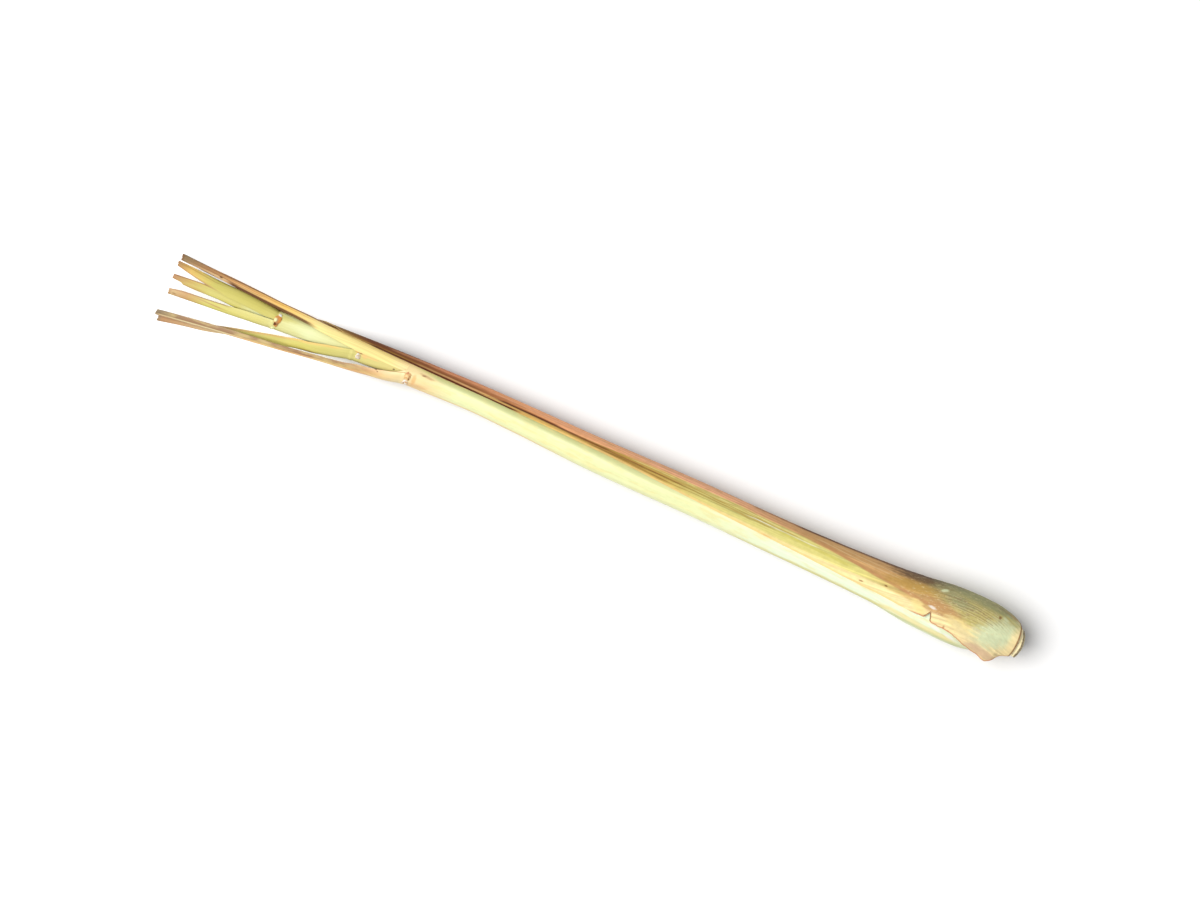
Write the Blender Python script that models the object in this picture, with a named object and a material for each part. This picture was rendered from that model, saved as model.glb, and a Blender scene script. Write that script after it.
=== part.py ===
"""A cut lemongrass stalk that lies on a table, in metres, +Z up.

+X runs along the stalk to its root end and +Z away from the table. The stalk is a short solid stem inside
the bulb, with seven leaves nested round it. Each leaf is one closed thin shell: a sheath, which is part of
a tube round the stalk's axis, and beyond its collar a blade, which is folded along its midrib into a V.
The blades are trimmed by one straight cut.
"""

import math
from dataclasses import dataclass, field

import bmesh
import bpy
from mathutils import Vector

MM = 0.001

# Driving dimensions, in millimetres and degrees. Keys are (place along X, value), with a smooth curve
# between them.
AXIS_Y = [(-137, 4.88), (-118, 5.3), (-97, 5.4), (-81, 5.3), (-57, 5.2), (-37, 4.3), (2, 2.1), (41, 0.8),
          (80, -1.2), (119, -2.7), (138, -3.8), (158, -3.8), (170, -3.2), (177, -3.15), (181.5, -4.3)]
AXIS_Z = [(-137, 6.3), (-110, 6.8), (-80, 7.4), (0, 8.7), (80, 10.1), (119, 10.9), (152, 11.69), (181.5, 11.4)]

# The heart leaf's outer radius, the step from one leaf's outer radius to the next one's, and the air
# between two leaves, which is wider in the bulb.
HEART_RADIUS = [(-137, 2.2), (-118, 1.95), (-97, 1.4), (-81, 0.85), (-57, 0.8), (2, 1.2), (80, 1.35),
                (119, 1.6), (138, 2.25), (152, 3.0), (158, 3.15), (166, 3.1), (172, 2.8)]
STEP = [(-137, 0.9), (-57, 0.88), (-37, 0.91), (2, 1.02), (80, 1.07), (99, 1.13), (119, 1.24), (138, 1.45),
        (152, 1.49), (158, 1.43), (166, 1.16), (172, 0.86)]
CLEARANCE = [(-137, 0.28), (90, 0.28), (130, 0.42), (166, 0.38), (172, 0.3)]

# The outer leaf has its own radius, because it spreads over the others.
OUTER_RADIUS = [(-126, 6.5), (-120, 6.4), (-115, 6.0), (-97, 6.05), (-81, 6.2), (-57, 6.1), (-37, 6.45), (2, 7.2),
                (60, 7.65), (99, 8.2), (119, 8.95), (138, 10.9), (152, 11.85), (158, 11.75), (165, 10.9),
                (170, 9.7), (174, 8.4), (177, 7.25)]
OUTER_WALL = [(-97, 0.6), (2, 0.65), (99, 0.75), (138, 1.0), (158, 1.05), (177, 0.9)]

BLADE_WALL = 0.6
FOLD_HANDLE = 0.6  # the least handle of the curve at the fold, which keeps the fold round
FOLD_SHARE = 0.45  # that handle as a share of the half spread, where that is more
MARGIN_SHARE = 0.5  # the handle at the margin as a share of the depth
OPENING = 14.0  # length over which a sheath turns into a folded blade
BLADE_HEADING = 86.0  # direction in which a blade's halves run at their margins: 90 is parallel
COLLAR = 0.22  # how far the collar stands out
COLLAR_HALF = 1.2  # half the length of the collar
COLLAR_REACH = 95.0  # how far round from the midrib it reaches
COLLAR_FADE = 25.0  # over how many degrees it dies away before that
FULL_WRAP = 150.0  # how far round each half of a closed sheath reaches
MOUTH_PLACES = (0.0, 0.4, 0.8, 1.2)  # steps in which a sheath draws back at its mouth
FLAP_FROM = 0.72  # share of the outer leaf's half where the torn flap starts to lift

# How far the outer leaf's end reaches beyond its base, by the share across.
OUTER_END = [(-1, 0.3), (-0.3, 0.1), (0, -0.7), (0.15, 0.0), (0.3, 1.0), (0.56, 1.4), (0.8, 0.9), (1, 0.3)]
OUTER_END_LENGTH = 3.0  # length over which it takes that shape

# The stem's cut root end: the radius there, the slant of the cut, and how far its two sides lie back.
CUT_RADIUS = 5.65
CUT_X = 180.95
CUT_SLANT = 5.2
CUT_BULGE = 1.5
LAST_SHOULDER = 0.15  # how much wider the stem is just behind the outer leaf's base
STEM_SIDES = 26

# Where the sections are taken. The two outer leaves, which show along their whole length, have more.
STATIONS = [174.5, 170, 166, 162, 156, 151, 146, 141, 136, 130, 122, 112, 98, 76, 52, 28, 2, -24, -46, -60, -72,
            -81, -90, -96, -103]
OUTSIDE_STATIONS = [158, 64, 40, 15, -11, -35]


def slopes(keys):
    """The slope of a smooth curve at each key, flat at a turning point so that it never overshoots."""
    rises = [(b[1] - a[1]) / (b[0] - a[0]) for a, b in zip(keys, keys[1:])]
    inner = [2 * p * q / (p + q) if p * q > 0 else 0.0 for p, q in zip(rises, rises[1:])]
    return [rises[0], *inner, rises[-1]]


def along(keys, x):
    """The value of the keys at x, held level beyond their ends."""
    if x <= keys[0][0]:
        return keys[0][1]
    if x >= keys[-1][0]:
        return keys[-1][1]
    slope = slopes(keys)
    i = next(i for i in range(len(keys) - 1) if x <= keys[i + 1][0])
    (x0, v0), (x1, v1) = keys[i], keys[i + 1]
    width = x1 - x0
    t = (x - x0) / width
    start = (1 + 2 * t) * (1 - t) ** 2 * v0 + t * (1 - t) ** 2 * width * slope[i]
    return start + t * t * (3 - 2 * t) * v1 + t * t * (t - 1) * width * slope[i + 1]


def eased(t):
    t = min(max(t, 0.0), 1.0)
    return t * t * (3 - 2 * t)


def mouth_wrap(mouth, end):
    """Wrap keys of a sheath that draws back at its mouth from its full wrap to the blade's, in short steps."""
    steps = len(MOUTH_PLACES) - 1
    keys = [(mouth + way, end + (FULL_WRAP - end) * n / steps) for n, way in enumerate(MOUTH_PLACES)]
    return [*keys, (172, FULL_WRAP)]


@dataclass
class Leaf:
    """One leaf. Its blade keys are (X, outer edge of the fold in Y, height of the fold, depth of the V from
    that edge to its margins, half the distance between its margins)."""

    name: str
    layer: int  # 0 for the heart leaf, counted outwards
    side: int  # +1 where the midrib is on the +Y side
    base: float
    mouth: float  # where the sheath ends
    tip: float
    facets: int  # across each half
    front_wrap: list  # how far the half towards the camera reaches round from the midrib
    blade: list
    colour: tuple
    back_wrap: list = field(default_factory=list)
    roll: list = field(default_factory=list)  # turn of the midrib round the axis, towards the camera
    lift: list = field(default_factory=list)  # how far a torn margin stands out
    collar: bool = False
    stations: tuple = ()  # further sections that this leaf's own shape needs
    roughness: float = 0.55


OUTER = Leaf(
    name="outer_leaf", layer=6, side=1, base=177.0, mouth=-126.0, tip=-180.0, facets=7,
    front_wrap=[(-126, 22), (-120, 26), (-115, 38), (-110, 44), (-95, 51), (-81, 58), (-57, 68), (-37, 70), (0, 73),
                (41, 92), (80, 102), (119, 114), (138.2, 113), (140.2, 112), (141.2, 107), (142.2, 99), (142.9, 114),
                (144, 117.5), (148.8, 120), (152, 123), (158, 135.5), (162, 146), (169, 158), (177, 160)],
    back_wrap=[(-126, 22), (-120, 26), (-115, 38), (-110, 50), (-95, 55), (-57, 72), (-37, 76), (0, 80), (41, 96),
               (80, 106), (119, 118), (140, 122), (158, 124), (170, 156), (177, 160)],
    blade=[(-140, 11.0, 1.7, 1.9, 1.0), (-155, 13.2, 1.6, 2.6, 0.8), (-170, 14.3, 1.25, 2.6, 0.7),
           (-180, 15.09, 1.02, 1.7, 0.7)],
    roll=[(-170, 0), (-155, -10), (-140, -42), (-126, -57), (-120, -46), (-116, -30), (-110, -8), (-95, 0)],
    lift=[(160, 0), (165, 1.0), (168.5, 2.7), (171, 2.6), (173, 0.6), (174.5, 0)],
    stations=(173, 168.5, 164, 144, 142.9, 142.2, 140.2, -86, -108, -112, -115, -118, -121, -133, -140, -148, -155, -162,
              -170),
    colour=(0.62, 0.40, 0.24), roughness=0.6,
)
PALE = Leaf(
    name="pale_leaf", layer=5, side=-1, base=172.5, mouth=-82.2, tip=-181.46, facets=7,
    front_wrap=mouth_wrap(-82.2, 91),
    blade=[(-86, -0.9, 7.25, 4.3, 4.5), (-90, -1.55, 7.15, 3.75, 3.5), (-96, -2.1, 7.0, 3.1, 2.1),
           (-100, -2.6, 6.9, 3.1, 1.6), (-107, -3.3, 6.6, 2.4, 1.25), (-115, -4.0, 6.4, 2.1, 1.1),
           (-131, -5.8, 6.0, 2.05, 1.0), (-146, -7.3, 5.2, 2.3, 1.0), (-162, -8.9, 4.4, 2.4, 1.0),
           (-181.46, -11.0, 3.9, 2.3, 1.0)],
    collar=True, stations=(-79.5, -86, -93, -100, -107, -115, -126, -137, -148, -162),
    colour=(0.86, 0.87, 0.52), roughness=0.42,
)
TOP = Leaf(
    name="top_leaf", layer=4, side=1, base=168.0, mouth=-103.0, tip=-180.0, facets=6,
    front_wrap=[(-103, 93), (-76, 97), (-40, 150), (168, 150)],
    blade=[(-108, 10.4, 6.9, 4.6, 4.7), (-115, 10.45, 6.8, 3.9, 4.5), (-120, 10.8, 6.8, 3.7, 4.1),
           (-124, 11.2, 6.7, 3.6, 3.7), (-130, 11.5, 6.5, 3.3, 3.1), (-136, 11.8, 6.3, 3.1, 2.4),
           (-145, 12.6, 6.2, 3.2, 2.05), (-154, 13.3, 6.0, 3.1, 1.9), (-160, 13.7, 5.7, 2.8, 1.7),
           (-170, 14.2, 4.7, 2.3, 1.2), (-180, 15.0, 3.8, 2.6, 1.05)],
    stations=(-108, -115, -120, -124, -130, -136, -145, -154, -160, -165, -170),
    colour=(0.86, 0.62, 0.33), roughness=0.5,
)
LOWER = Leaf(
    name="lower_leaf", layer=3, side=-1, base=164.0, mouth=-104.2, tip=-180.2, facets=6,
    front_wrap=mouth_wrap(-104.2, 88),
    blade=[(-107.5, 0.4, 6.8, 4.1, 4.2), (-111, -0.4, 6.65, 4.2, 4.0), (-115, -1.2, 6.5, 4.2, 3.8),
           (-119, -2.0, 6.2, 4.1, 3.3), (-122.5, -2.4, 5.6, 3.8, 2.8), (-126, -2.85, 4.8, 3.9, 2.1),
           (-131, -4.0, 3.5, 3.9, 1.6),
           (-137, -4.9, 3.1, 3.6, 1.4), (-146, -6.4, 2.3, 3.1, 1.15), (-154, -8.2, 1.85, 3.1, 1.0),
           (-162, -10.0, 1.45, 2.8, 0.85), (-170, -11.2, 1.2, 2.2, 0.75), (-180, -13.0, 1.03, 2.1, 0.7)],
    collar=True, stations=(-101.5, -107.5, -111, -115, -119, -122.5, -126, -131, -137, -146, -154, -162, -170),
    colour=(0.80, 0.77, 0.40), roughness=0.45,
)
MIDDLE = Leaf(
    name="middle_leaf", layer=2, side=-1, base=160.0, mouth=-137.5, tip=-180.0, facets=6,
    front_wrap=mouth_wrap(-137.5, 80),
    blade=[(-141, 0.5, 6.2, 3.5, 3.3), (-148, 0.1, 5.9, 3.5, 2.3), (-154, -0.3, 5.6, 3.3, 1.7),
           (-166, -0.9, 5.0, 2.95, 1.2), (-174, -1.3, 4.6, 2.9, 1.1), (-180, -1.65, 4.3, 2.35, 1.0)],
    collar=True, stations=(-112, -121, -130, -134.8, -141, -144.5, -148, -154, -160, -166, -174),
    colour=(0.82, 0.82, 0.46), roughness=0.45,
)
INNER = Leaf(
    name="inner_leaf", layer=1, side=1, base=156.0, mouth=-135.0, tip=-180.4, facets=5,
    front_wrap=[(-135, 100), (-120, 150), (156, 150)],
    blade=[(-138, 8.2, 6.3, 3.8, 2.65), (-143, 8.9, 6.3, 4.3, 2.5), (-148, 9.6, 6.2, 4.6, 2.35),
           (-154, 10.15, 6.05, 4.7, 2.15), (-160, 10.4, 6.05, 4.3, 1.95), (-168.5, 11.1, 6.15, 3.7, 1.65),
           (-174, 11.55, 6.5, 3.05, 1.2), (-180.4, 12.0, 6.8, 2.1, 0.9)],
    stations=(-112, -121, -130, -135, -138, -143, -148, -154, -160, -168.5, -174),
    colour=(0.80, 0.74, 0.36), roughness=0.45,
)
HEART = Leaf(
    name="heart_leaf", layer=0, side=-1, base=152.0, mouth=-135.0, tip=-180.4, facets=4,
    front_wrap=[(-135, 100), (-120, 145), (156, 145)],
    blade=[(-138, 2.9, 6.3, 2.7, 1.7), (-143, 2.8, 6.25, 3.3, 1.4), (-148, 2.9, 6.2, 3.9, 1.1),
           (-154, 3.2, 6.1, 4.1, 0.9), (-162, 3.6, 6.0, 3.8, 0.8), (-170, 3.6, 6.0, 3.5, 0.75),
           (-174, 3.7, 5.9, 3.2, 0.75), (-180.4, 4.2, 5.7, 2.4, 0.72)],
    stations=(-112, -121, -130, -135, -138, -143, -148, -154, -162, -170),
    colour=(0.80, 0.80, 0.38), roughness=0.45,
)
LEAVES = (OUTER, PALE, TOP, LOWER, MIDDLE, INNER, HEART)
STEM_COLOUR = (0.85, 0.74, 0.48)
STEM_ROUGHNESS = 0.6
SHARP_ANGLE = 40.0  # an edge between faces that meet more steeply is drawn sharp


def sheath_radius(leaf, x):
    """Outer radius of the leaf's sheath at x."""
    if leaf is OUTER:
        return along(OUTER_RADIUS, x)
    return along(HEART_RADIUS, x) + leaf.layer * along(STEP, x)


def sheath_wall(leaf, x):
    if leaf is OUTER:
        return along(OUTER_WALL, x)
    return along(STEP, x) - along(CLEARANCE, x)


def arc_point(radius, wrap, t):
    """Way inwards, way to the side and heading at share t of a sheath's half. The heading is 0 at the
    midrib, where the section runs sideways, and 90 degrees where it runs inwards."""
    angle = wrap * t
    return radius * (1 - math.cos(angle)), radius * math.sin(angle), angle


def fold_point(depth, spread, heading, start, end, t):
    """The same for a half that folds: a cubic curve with the given handles at its ends."""
    inwards = (0.0, 0.0, depth - end * math.sin(heading), depth)
    sideways = (0.0, start, spread - end * math.cos(heading), spread)
    weights = ((1 - t) ** 3, 3 * t * (1 - t) ** 2, 3 * t * t * (1 - t), t**3)
    rates = (-3 * (1 - t) ** 2, 3 * (1 - t) ** 2 - 6 * t * (1 - t), 6 * t * (1 - t) - 3 * t * t, 3 * t * t)
    along_in, along_side = (sum(r * v for r, v in zip(rates, way)) for way in (inwards, sideways))
    place_in, place_side = (sum(w * v for w, v in zip(weights, way)) for way in (inwards, sideways))
    return place_in, place_side, math.atan2(along_in, along_side)


def roll_at(leaf, x):
    return math.radians(along(leaf.roll, x)) if leaf.roll else 0.0


def wraps(leaf, x):
    """How far the front and the back half of the sheath reach round, in radians."""
    front = along(leaf.front_wrap, x)
    back = along(leaf.back_wrap, x) if leaf.back_wrap else front
    return math.radians(front), math.radians(back)


def mouth_keys(leaf):
    """The sheath's last section, written as a blade key."""
    radius = sheath_radius(leaf, leaf.mouth)
    middle = radius - sheath_wall(leaf, leaf.mouth) / 2
    wrap = wraps(leaf, leaf.mouth)[0]
    turn = roll_at(leaf, leaf.mouth)
    fold_y = along(AXIS_Y, leaf.mouth) + leaf.side * radius * math.cos(turn)
    fold_z = along(AXIS_Z, leaf.mouth) + middle * math.sin(turn)
    depth = radius - middle * math.cos(wrap)
    return leaf.mouth, fold_y, fold_z, depth, middle * math.sin(wrap)


def section(leaf, x):
    """The leaf's section at x: the wall there, and from the back margin over the midrib to the front one
    each point of its middle surface with the outward direction, as (y, z) pairs."""
    turn = roll_at(leaf, x)
    out = (leaf.side * math.cos(turn), math.sin(turn))
    points = []
    if x >= leaf.mouth:
        wall = sheath_wall(leaf, x)
        middle = sheath_radius(leaf, x) - wall / 2
        origin = (along(AXIS_Y, x) + out[0] * middle, along(AXIS_Z, x) + out[1] * middle)
        halves = [(lambda t, wrap=wrap: arc_point(middle, wrap, t)) for wrap in wraps(leaf, x)]
    else:
        keys = sorted([*leaf.blade, mouth_keys(leaf)])
        fold_y, fold_z, depth, spread = (along([(k[0], k[n]) for k in keys], x) for n in (1, 2, 3, 4))
        share = eased((leaf.mouth - x) / OPENING)
        wall = (1 - share) * sheath_wall(leaf, leaf.mouth) + share * BLADE_WALL
        wrap = wraps(leaf, leaf.mouth)[0]
        middle = sheath_radius(leaf, leaf.mouth) - sheath_wall(leaf, leaf.mouth) / 2
        handle = 4 / 3 * math.tan(wrap / 4) * middle
        heading = (1 - share) * wrap + share * math.radians(BLADE_HEADING)
        start = (1 - share) * handle + share * max(FOLD_HANDLE, FOLD_SHARE * spread)
        end = (1 - share) * handle + share * MARGIN_SHARE * depth
        origin = (fold_y - out[0] * wall / 2, fold_z)
        depth -= wall / 2
        halves = [lambda t: fold_point(depth, spread, heading, start, end, t)] * 2
    lift = along(leaf.lift, x) if leaf.lift else 0.0
    for side, half in ((-1, halves[1]), (1, halves[0])):
        steps = range(leaf.facets, 0, -1) if side < 0 else range(leaf.facets + 1)
        for k in steps:
            t = k / leaf.facets
            inwards, sideways, heading_here = half(t)
            across = side * leaf.side
            # Sideways is at right angles to the way out: +Z on the front half when the turn is 0.
            tangent = (-out[1] * across, out[0] * across)
            normal = tuple(
                o * math.cos(heading_here) + s * math.sin(heading_here) for o, s in zip(out, tangent)
            )
            raised = lift * max(0.0, (t - FLAP_FROM) / (1 - FLAP_FROM)) ** 2 if side > 0 else 0.0
            point = tuple(
                c - o * inwards + s * sideways + n * raised
                for c, o, s, n in zip(origin, out, tangent, normal)
            )
            points.append((point, normal))
    return wall, points


def stations_of(leaf):
    """Where this leaf's sections are taken, from its base to its tip."""
    places = {*STATIONS, *leaf.stations}
    if leaf in (OUTER, PALE):
        places.update(OUTSIDE_STATIONS)
    if leaf.collar:
        places.update(leaf.mouth + way for way in MOUTH_PLACES)
    kept = [x for x in places if leaf.tip + 2 < x < leaf.base - 1]
    kept = [x for x in kept if x in leaf.stations or x >= leaf.mouth]
    return [leaf.base, *sorted(kept, reverse=True), leaf.tip]


def collar_height(leaf, x, t):
    """The collar is a low round rim at the sheath's mouth, on the midrib's side of the stalk."""
    if not leaf.collar or abs(x - leaf.mouth) > COLLAR_HALF:
        return 0.0
    reach = abs(t) * math.degrees(wraps(leaf, x)[0])
    return COLLAR * eased(1 - abs(x - leaf.mouth) / COLLAR_HALF) * eased((COLLAR_REACH - reach) / COLLAR_FADE)


def end_shift(leaf, x, t):
    """How far a point moves along X, because the outer leaf's end isn't straight."""
    if leaf is not OUTER:
        return 0.0
    return along(OUTER_END, t) * eased(1 - (leaf.base - x) / OUTER_END_LENGTH)


def leaf_mesh(leaf):
    """The closed shell: an outer and an inner sheet, joined along the margins and at both ends."""
    mesh = bmesh.new()
    outer, inner = [], []
    for x in stations_of(leaf):
        wall, points = section(leaf, x)
        for sheet, way in ((outer, 1), (inner, -1)):
            row = []
            for k, (point, normal) in enumerate(points):
                t = k / leaf.facets - 1
                rim = collar_height(leaf, x, t) if way > 0 else 0.0
                y, z = (p + way * n * (wall / 2 + rim) for p, n in zip(point, normal))
                row.append(mesh.verts.new(((x + end_shift(leaf, x, t)) * MM, y * MM, z * MM)))
            sheet.append(row)
    last = len(outer[0]) - 1
    for here, there in zip(range(len(outer)), range(1, len(outer))):
        for k in range(last):
            for sheet in (outer, inner):
                split_quad(mesh, sheet[here][k], sheet[here][k + 1], sheet[there][k + 1], sheet[there][k])
        for edge in (0, last):
            split_quad(mesh, outer[here][edge], inner[here][edge], inner[there][edge], outer[there][edge])
    for end in (0, -1):
        for k in range(last):
            split_quad(mesh, outer[end][k], outer[end][k + 1], inner[end][k + 1], inner[end][k])
    bmesh.ops.recalc_face_normals(mesh, faces=mesh.faces)
    return mesh


def split_quad(mesh, a, b, c, d):
    """Two triangles with the same diagonal on every sheet, so that a wall's two faces stay apart."""
    mesh.faces.new((a, b, c))
    mesh.faces.new((a, c, d))


def cut_flat(mesh):
    """Flattens the lowest part of the bulb into the spot that the stalk rests on, at Z = 0."""
    geometry = [*mesh.verts, *mesh.edges, *mesh.faces]
    bmesh.ops.bisect_plane(mesh, geom=geometry, plane_co=(0, 0, 0), plane_no=(0, 0, -1), clear_outer=True)
    open_edges = [e for e in mesh.edges if e.is_boundary]
    if open_edges:
        bmesh.ops.triangle_fill(mesh, edges=open_edges, use_beauty=True)
    bmesh.ops.recalc_face_normals(mesh, faces=mesh.faces)


def stem_profile():
    """(X, radius) from the stem's inner end to its cut: one shoulder for each leaf's base."""
    inside_out = sorted(LEAVES, key=lambda leaf: leaf.layer)
    profile = []
    start = HEART.base + CLEARANCE[-1][1]
    for leaf in inside_out[1:]:
        for x in (start, leaf.base):
            room = sheath_radius(leaf, x) - sheath_wall(leaf, x) - along(CLEARANCE, x)
            profile.append((x, room))
        start = leaf.base + CLEARANCE[-1][1]
    profile.append((start, CUT_RADIUS + LAST_SHOULDER))
    return profile


def stem_mesh():
    """The solid stem: rings round the axis, and at the root end a slanted cut, whose sides lie back."""
    mesh = bmesh.new()
    rings = []
    profile = stem_profile()
    slant = math.tan(math.radians(CUT_SLANT))
    for x, radius in [*profile, (CUT_X, CUT_RADIUS)]:
        ring = []
        for k in range(STEM_SIDES):
            angle = math.tau * k / STEM_SIDES
            rise = radius * math.sin(angle)
            place = x - rise * slant - CUT_BULGE * math.cos(angle) ** 2 if x == CUT_X else x
            y = along(AXIS_Y, x) + radius * math.cos(angle)
            ring.append(mesh.verts.new((place * MM, y * MM, (along(AXIS_Z, x) + rise) * MM)))
        rings.append(ring)
    for here, there in zip(rings, rings[1:]):
        for k in range(STEM_SIDES):
            mesh.faces.new((here[k], here[k - 1], there[k - 1], there[k]))
    mesh.faces.new(rings[0])
    middle = mesh.verts.new((CUT_X * MM, along(AXIS_Y, CUT_X) * MM, along(AXIS_Z, CUT_X) * MM))
    for k in range(STEM_SIDES):
        mesh.faces.new((rings[-1][k - 1], rings[-1][k], middle))
    bmesh.ops.recalc_face_normals(mesh, faces=mesh.faces)
    return mesh


def material(name, colour, roughness):
    made = bpy.data.materials.new(name)
    made.use_nodes = True
    shader = made.node_tree.nodes["Principled BSDF"]
    shader.inputs["Base Color"].default_value = (*colour, 1.0)
    shader.inputs["Roughness"].default_value = roughness
    shader.inputs["Metallic"].default_value = 0.0
    return made


def add_piece(name, mesh, base_x, parent, colour, roughness):
    """Makes the object, with its own origin on the stalk's axis at the piece's base."""
    origin = Vector((base_x, along(AXIS_Y, base_x), along(AXIS_Z, base_x))) * MM
    bmesh.ops.translate(mesh, verts=mesh.verts, vec=-origin)
    data = bpy.data.meshes.new(name)
    mesh.to_mesh(data)
    mesh.free()
    data.shade_smooth()
    data.set_sharp_from_angle(angle=math.radians(SHARP_ANGLE))
    data.materials.append(material(name, colour, roughness))
    piece = bpy.data.objects.new(name, data)
    piece.location = origin
    piece.parent = parent
    bpy.context.scene.collection.objects.link(piece)
    return piece


def main():
    for thing in list(bpy.data.objects):
        bpy.data.objects.remove(thing, do_unlink=True)
    stalk = bpy.data.objects.new("lemongrass_stalk", None)
    bpy.context.scene.collection.objects.link(stalk)
    for leaf in LEAVES:
        mesh = leaf_mesh(leaf)
        if leaf is OUTER:
            cut_flat(mesh)
        add_piece(leaf.name, mesh, leaf.base, stalk, leaf.colour, leaf.roughness)
    add_piece("stem_base", stem_mesh(), CUT_X, stalk, STEM_COLOUR, STEM_ROUGHNESS)


main()
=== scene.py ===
"""The finished lemongrass stalk: finer leaves in place of the CAD ones, colours, the floor and the light.

Lengths are millimetres until they are put into a mesh. A place on a leaf is given by X and by its share
across: -1 at the back margin, 0 at the midrib, +1 at the margin that faces the camera.
"""

from math import atan2, cos, degrees, dist, radians, sin, tan, tau
from dataclasses import dataclass

import bpy
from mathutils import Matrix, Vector, noise


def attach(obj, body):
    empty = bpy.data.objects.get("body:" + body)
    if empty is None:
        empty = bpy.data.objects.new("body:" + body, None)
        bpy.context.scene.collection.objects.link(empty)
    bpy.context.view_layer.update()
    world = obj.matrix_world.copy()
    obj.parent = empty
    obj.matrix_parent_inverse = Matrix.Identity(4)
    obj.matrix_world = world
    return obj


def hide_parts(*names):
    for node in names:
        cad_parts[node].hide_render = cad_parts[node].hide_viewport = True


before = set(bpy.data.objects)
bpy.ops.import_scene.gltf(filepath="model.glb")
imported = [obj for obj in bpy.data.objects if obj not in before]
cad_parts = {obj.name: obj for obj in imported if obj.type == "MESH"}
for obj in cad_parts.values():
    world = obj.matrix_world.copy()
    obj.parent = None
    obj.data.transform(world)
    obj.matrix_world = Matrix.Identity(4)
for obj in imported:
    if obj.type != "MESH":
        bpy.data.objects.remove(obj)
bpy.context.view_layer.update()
MM = 0.001

# The form, as the solids have it.
AXIS_Y = [(-137, 4.88), (-118, 5.3), (-97, 5.4), (-81, 5.3), (-57, 5.2), (-37, 4.3), (2, 2.1), (41, 0.8),
          (80, -1.2), (119, -2.7), (138, -3.8), (158, -3.8), (170, -3.2), (177, -3.15), (181.5, -4.3)]
AXIS_Z = [(-137, 6.3), (-110, 6.8), (-80, 7.4), (0, 8.7), (80, 10.1), (119, 10.9), (152, 11.69),
          (181.5, 11.4)]
HEART_RADIUS = [(-137, 2.2), (-118, 1.95), (-97, 1.4), (-81, 0.85), (-57, 0.8), (2, 1.2), (80, 1.35),
                (119, 1.6), (138, 2.25), (152, 3), (158, 3.15), (166, 3.1), (172, 2.8)]
STEP = [(-137, 0.9), (-57, 0.88), (-37, 0.91), (2, 1.02), (80, 1.07), (99, 1.13), (119, 1.24), (138, 1.45),
        (152, 1.49), (158, 1.43), (166, 1.16), (172, 0.86)]
CLEARANCE = [(-137, 0.28), (90, 0.28), (130, 0.42), (166, 0.38), (172, 0.3)]
OUTER_RADIUS = [(-126, 6.5), (-120, 6.4), (-115, 6), (-97, 6.05), (-81, 6.2), (-57, 6.1), (-37, 6.45),
                (2, 7.2), (60, 7.65), (99, 8.2), (119, 8.95), (138, 10.9), (152, 11.85), (158, 11.75),
                (165, 10.9), (170, 9.7), (174, 8.4), (177, 7.25)]
OUTER_WALL = [(-97, 0.6), (2, 0.65), (99, 0.75), (138, 1.0), (158, 1.05), (177, 0.9)]
BLADE_WALL = 0.6
FOLD_HANDLE = 0.6
FOLD_SHARE = 0.45
MARGIN_SHARE = 0.5
OPENING = 14.0
BLADE_HEADING = 86.0
COLLAR = 0.22
COLLAR_HALF = 1.2
COLLAR_REACH = 95.0
COLLAR_FADE = 25.0
FULL_WRAP = 150.0
MOUTH_PLACES = (0.0, 0.4, 0.8, 1.2)
FLAT = ((0, 0),)  # keys that are 0 all along
FLAP_FROM = 0.72
OUTER_END = [(-1, 0.3), (-0.3, 0.1), (0, -0.7), (0.15, 0.0), (0.3, 1.0), (0.56, 1.4), (0.8, 0.9), (1, 0.3)]
OUTER_END_LENGTH = 3.0
CUT_RADIUS = 5.65
CUT_X = 180.95
CUT_SLANT = 5.2
CUT_BULGE = 1.5
LAST_SHOULDER = 0.15

# What the finer form adds.
FINE_WALL = 0.45  # a blade's thickness in its middle
THINS_OVER = 1.6  # the strip along a margin where a leaf thins out
RELIEF_FADE = 0.8  # and where its relief fades
BULB = (110, 150)
LUMPS = 0.10  # on the bulb
# The dark groove below the outer leaf's pink band: (X, Y).
GROOVE = [(-60, 7.9), (-45, 8.3), (-29.5, 7.8), (-13.9, 6.6), (1.8, 5.6), (17, 5.0), (33, 4.4), (60, 3.3)]
# The groove and the two creases below it: (depth, how far below the groove, half width, where along X it
# begins, where it ends).
CREASES = (
    (0.34, 0.0, 0.62, (-66, -52), (78, 38)),
    (0.16, 1.15, 0.42, (-20, 10), (120, 60)),
    (0.12, 2.2, 0.45, (20, 50), (150, 90)),
)
TIP_RAGGED = 5.0  # how much of a leaf's tip is ragged
HEART_NOTCH = 4.0
MIDDLE_NOTCH = 1.1
TORN_FROM = (134, 140)
TORN_TO = (177.5, 174.5)
TORN = 1.5  # degrees
# How far apart the sections are taken.
HIDDEN_STEP = 5.0
BULB_STEP = 0.42
COLLAR_STEP = 0.3
TIP_STEP = 0.4
# The leaf's map: strips along it, and where the outer and the inner face begin and how wide they are in one.
BANDS = 3
FACE_STRIPS = ((0.02, 0.66), (0.72, 0.26))
FACTS = ("share", "arc", "rim", "base_way", "skin")  # what a leaf's material reads at its points
LEAF_SHARP = 50.0  # edges that turn more than so many degrees stay sharp
STEM_SHARP = 40.0
SCRAP_SHARP = 60.0
STEM_SIDES = 96
CUT_RINGS = (0.985, 0.9, 0.78, 0.66, 0.54, 0.42, 0.3, 0.18, 0.08)
SCRAP_RINGS = 7
SIDES = 40  # of a scrap
SCRAP_ROOT = 0.12  # how deep a scrap sits in the leaf

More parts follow.
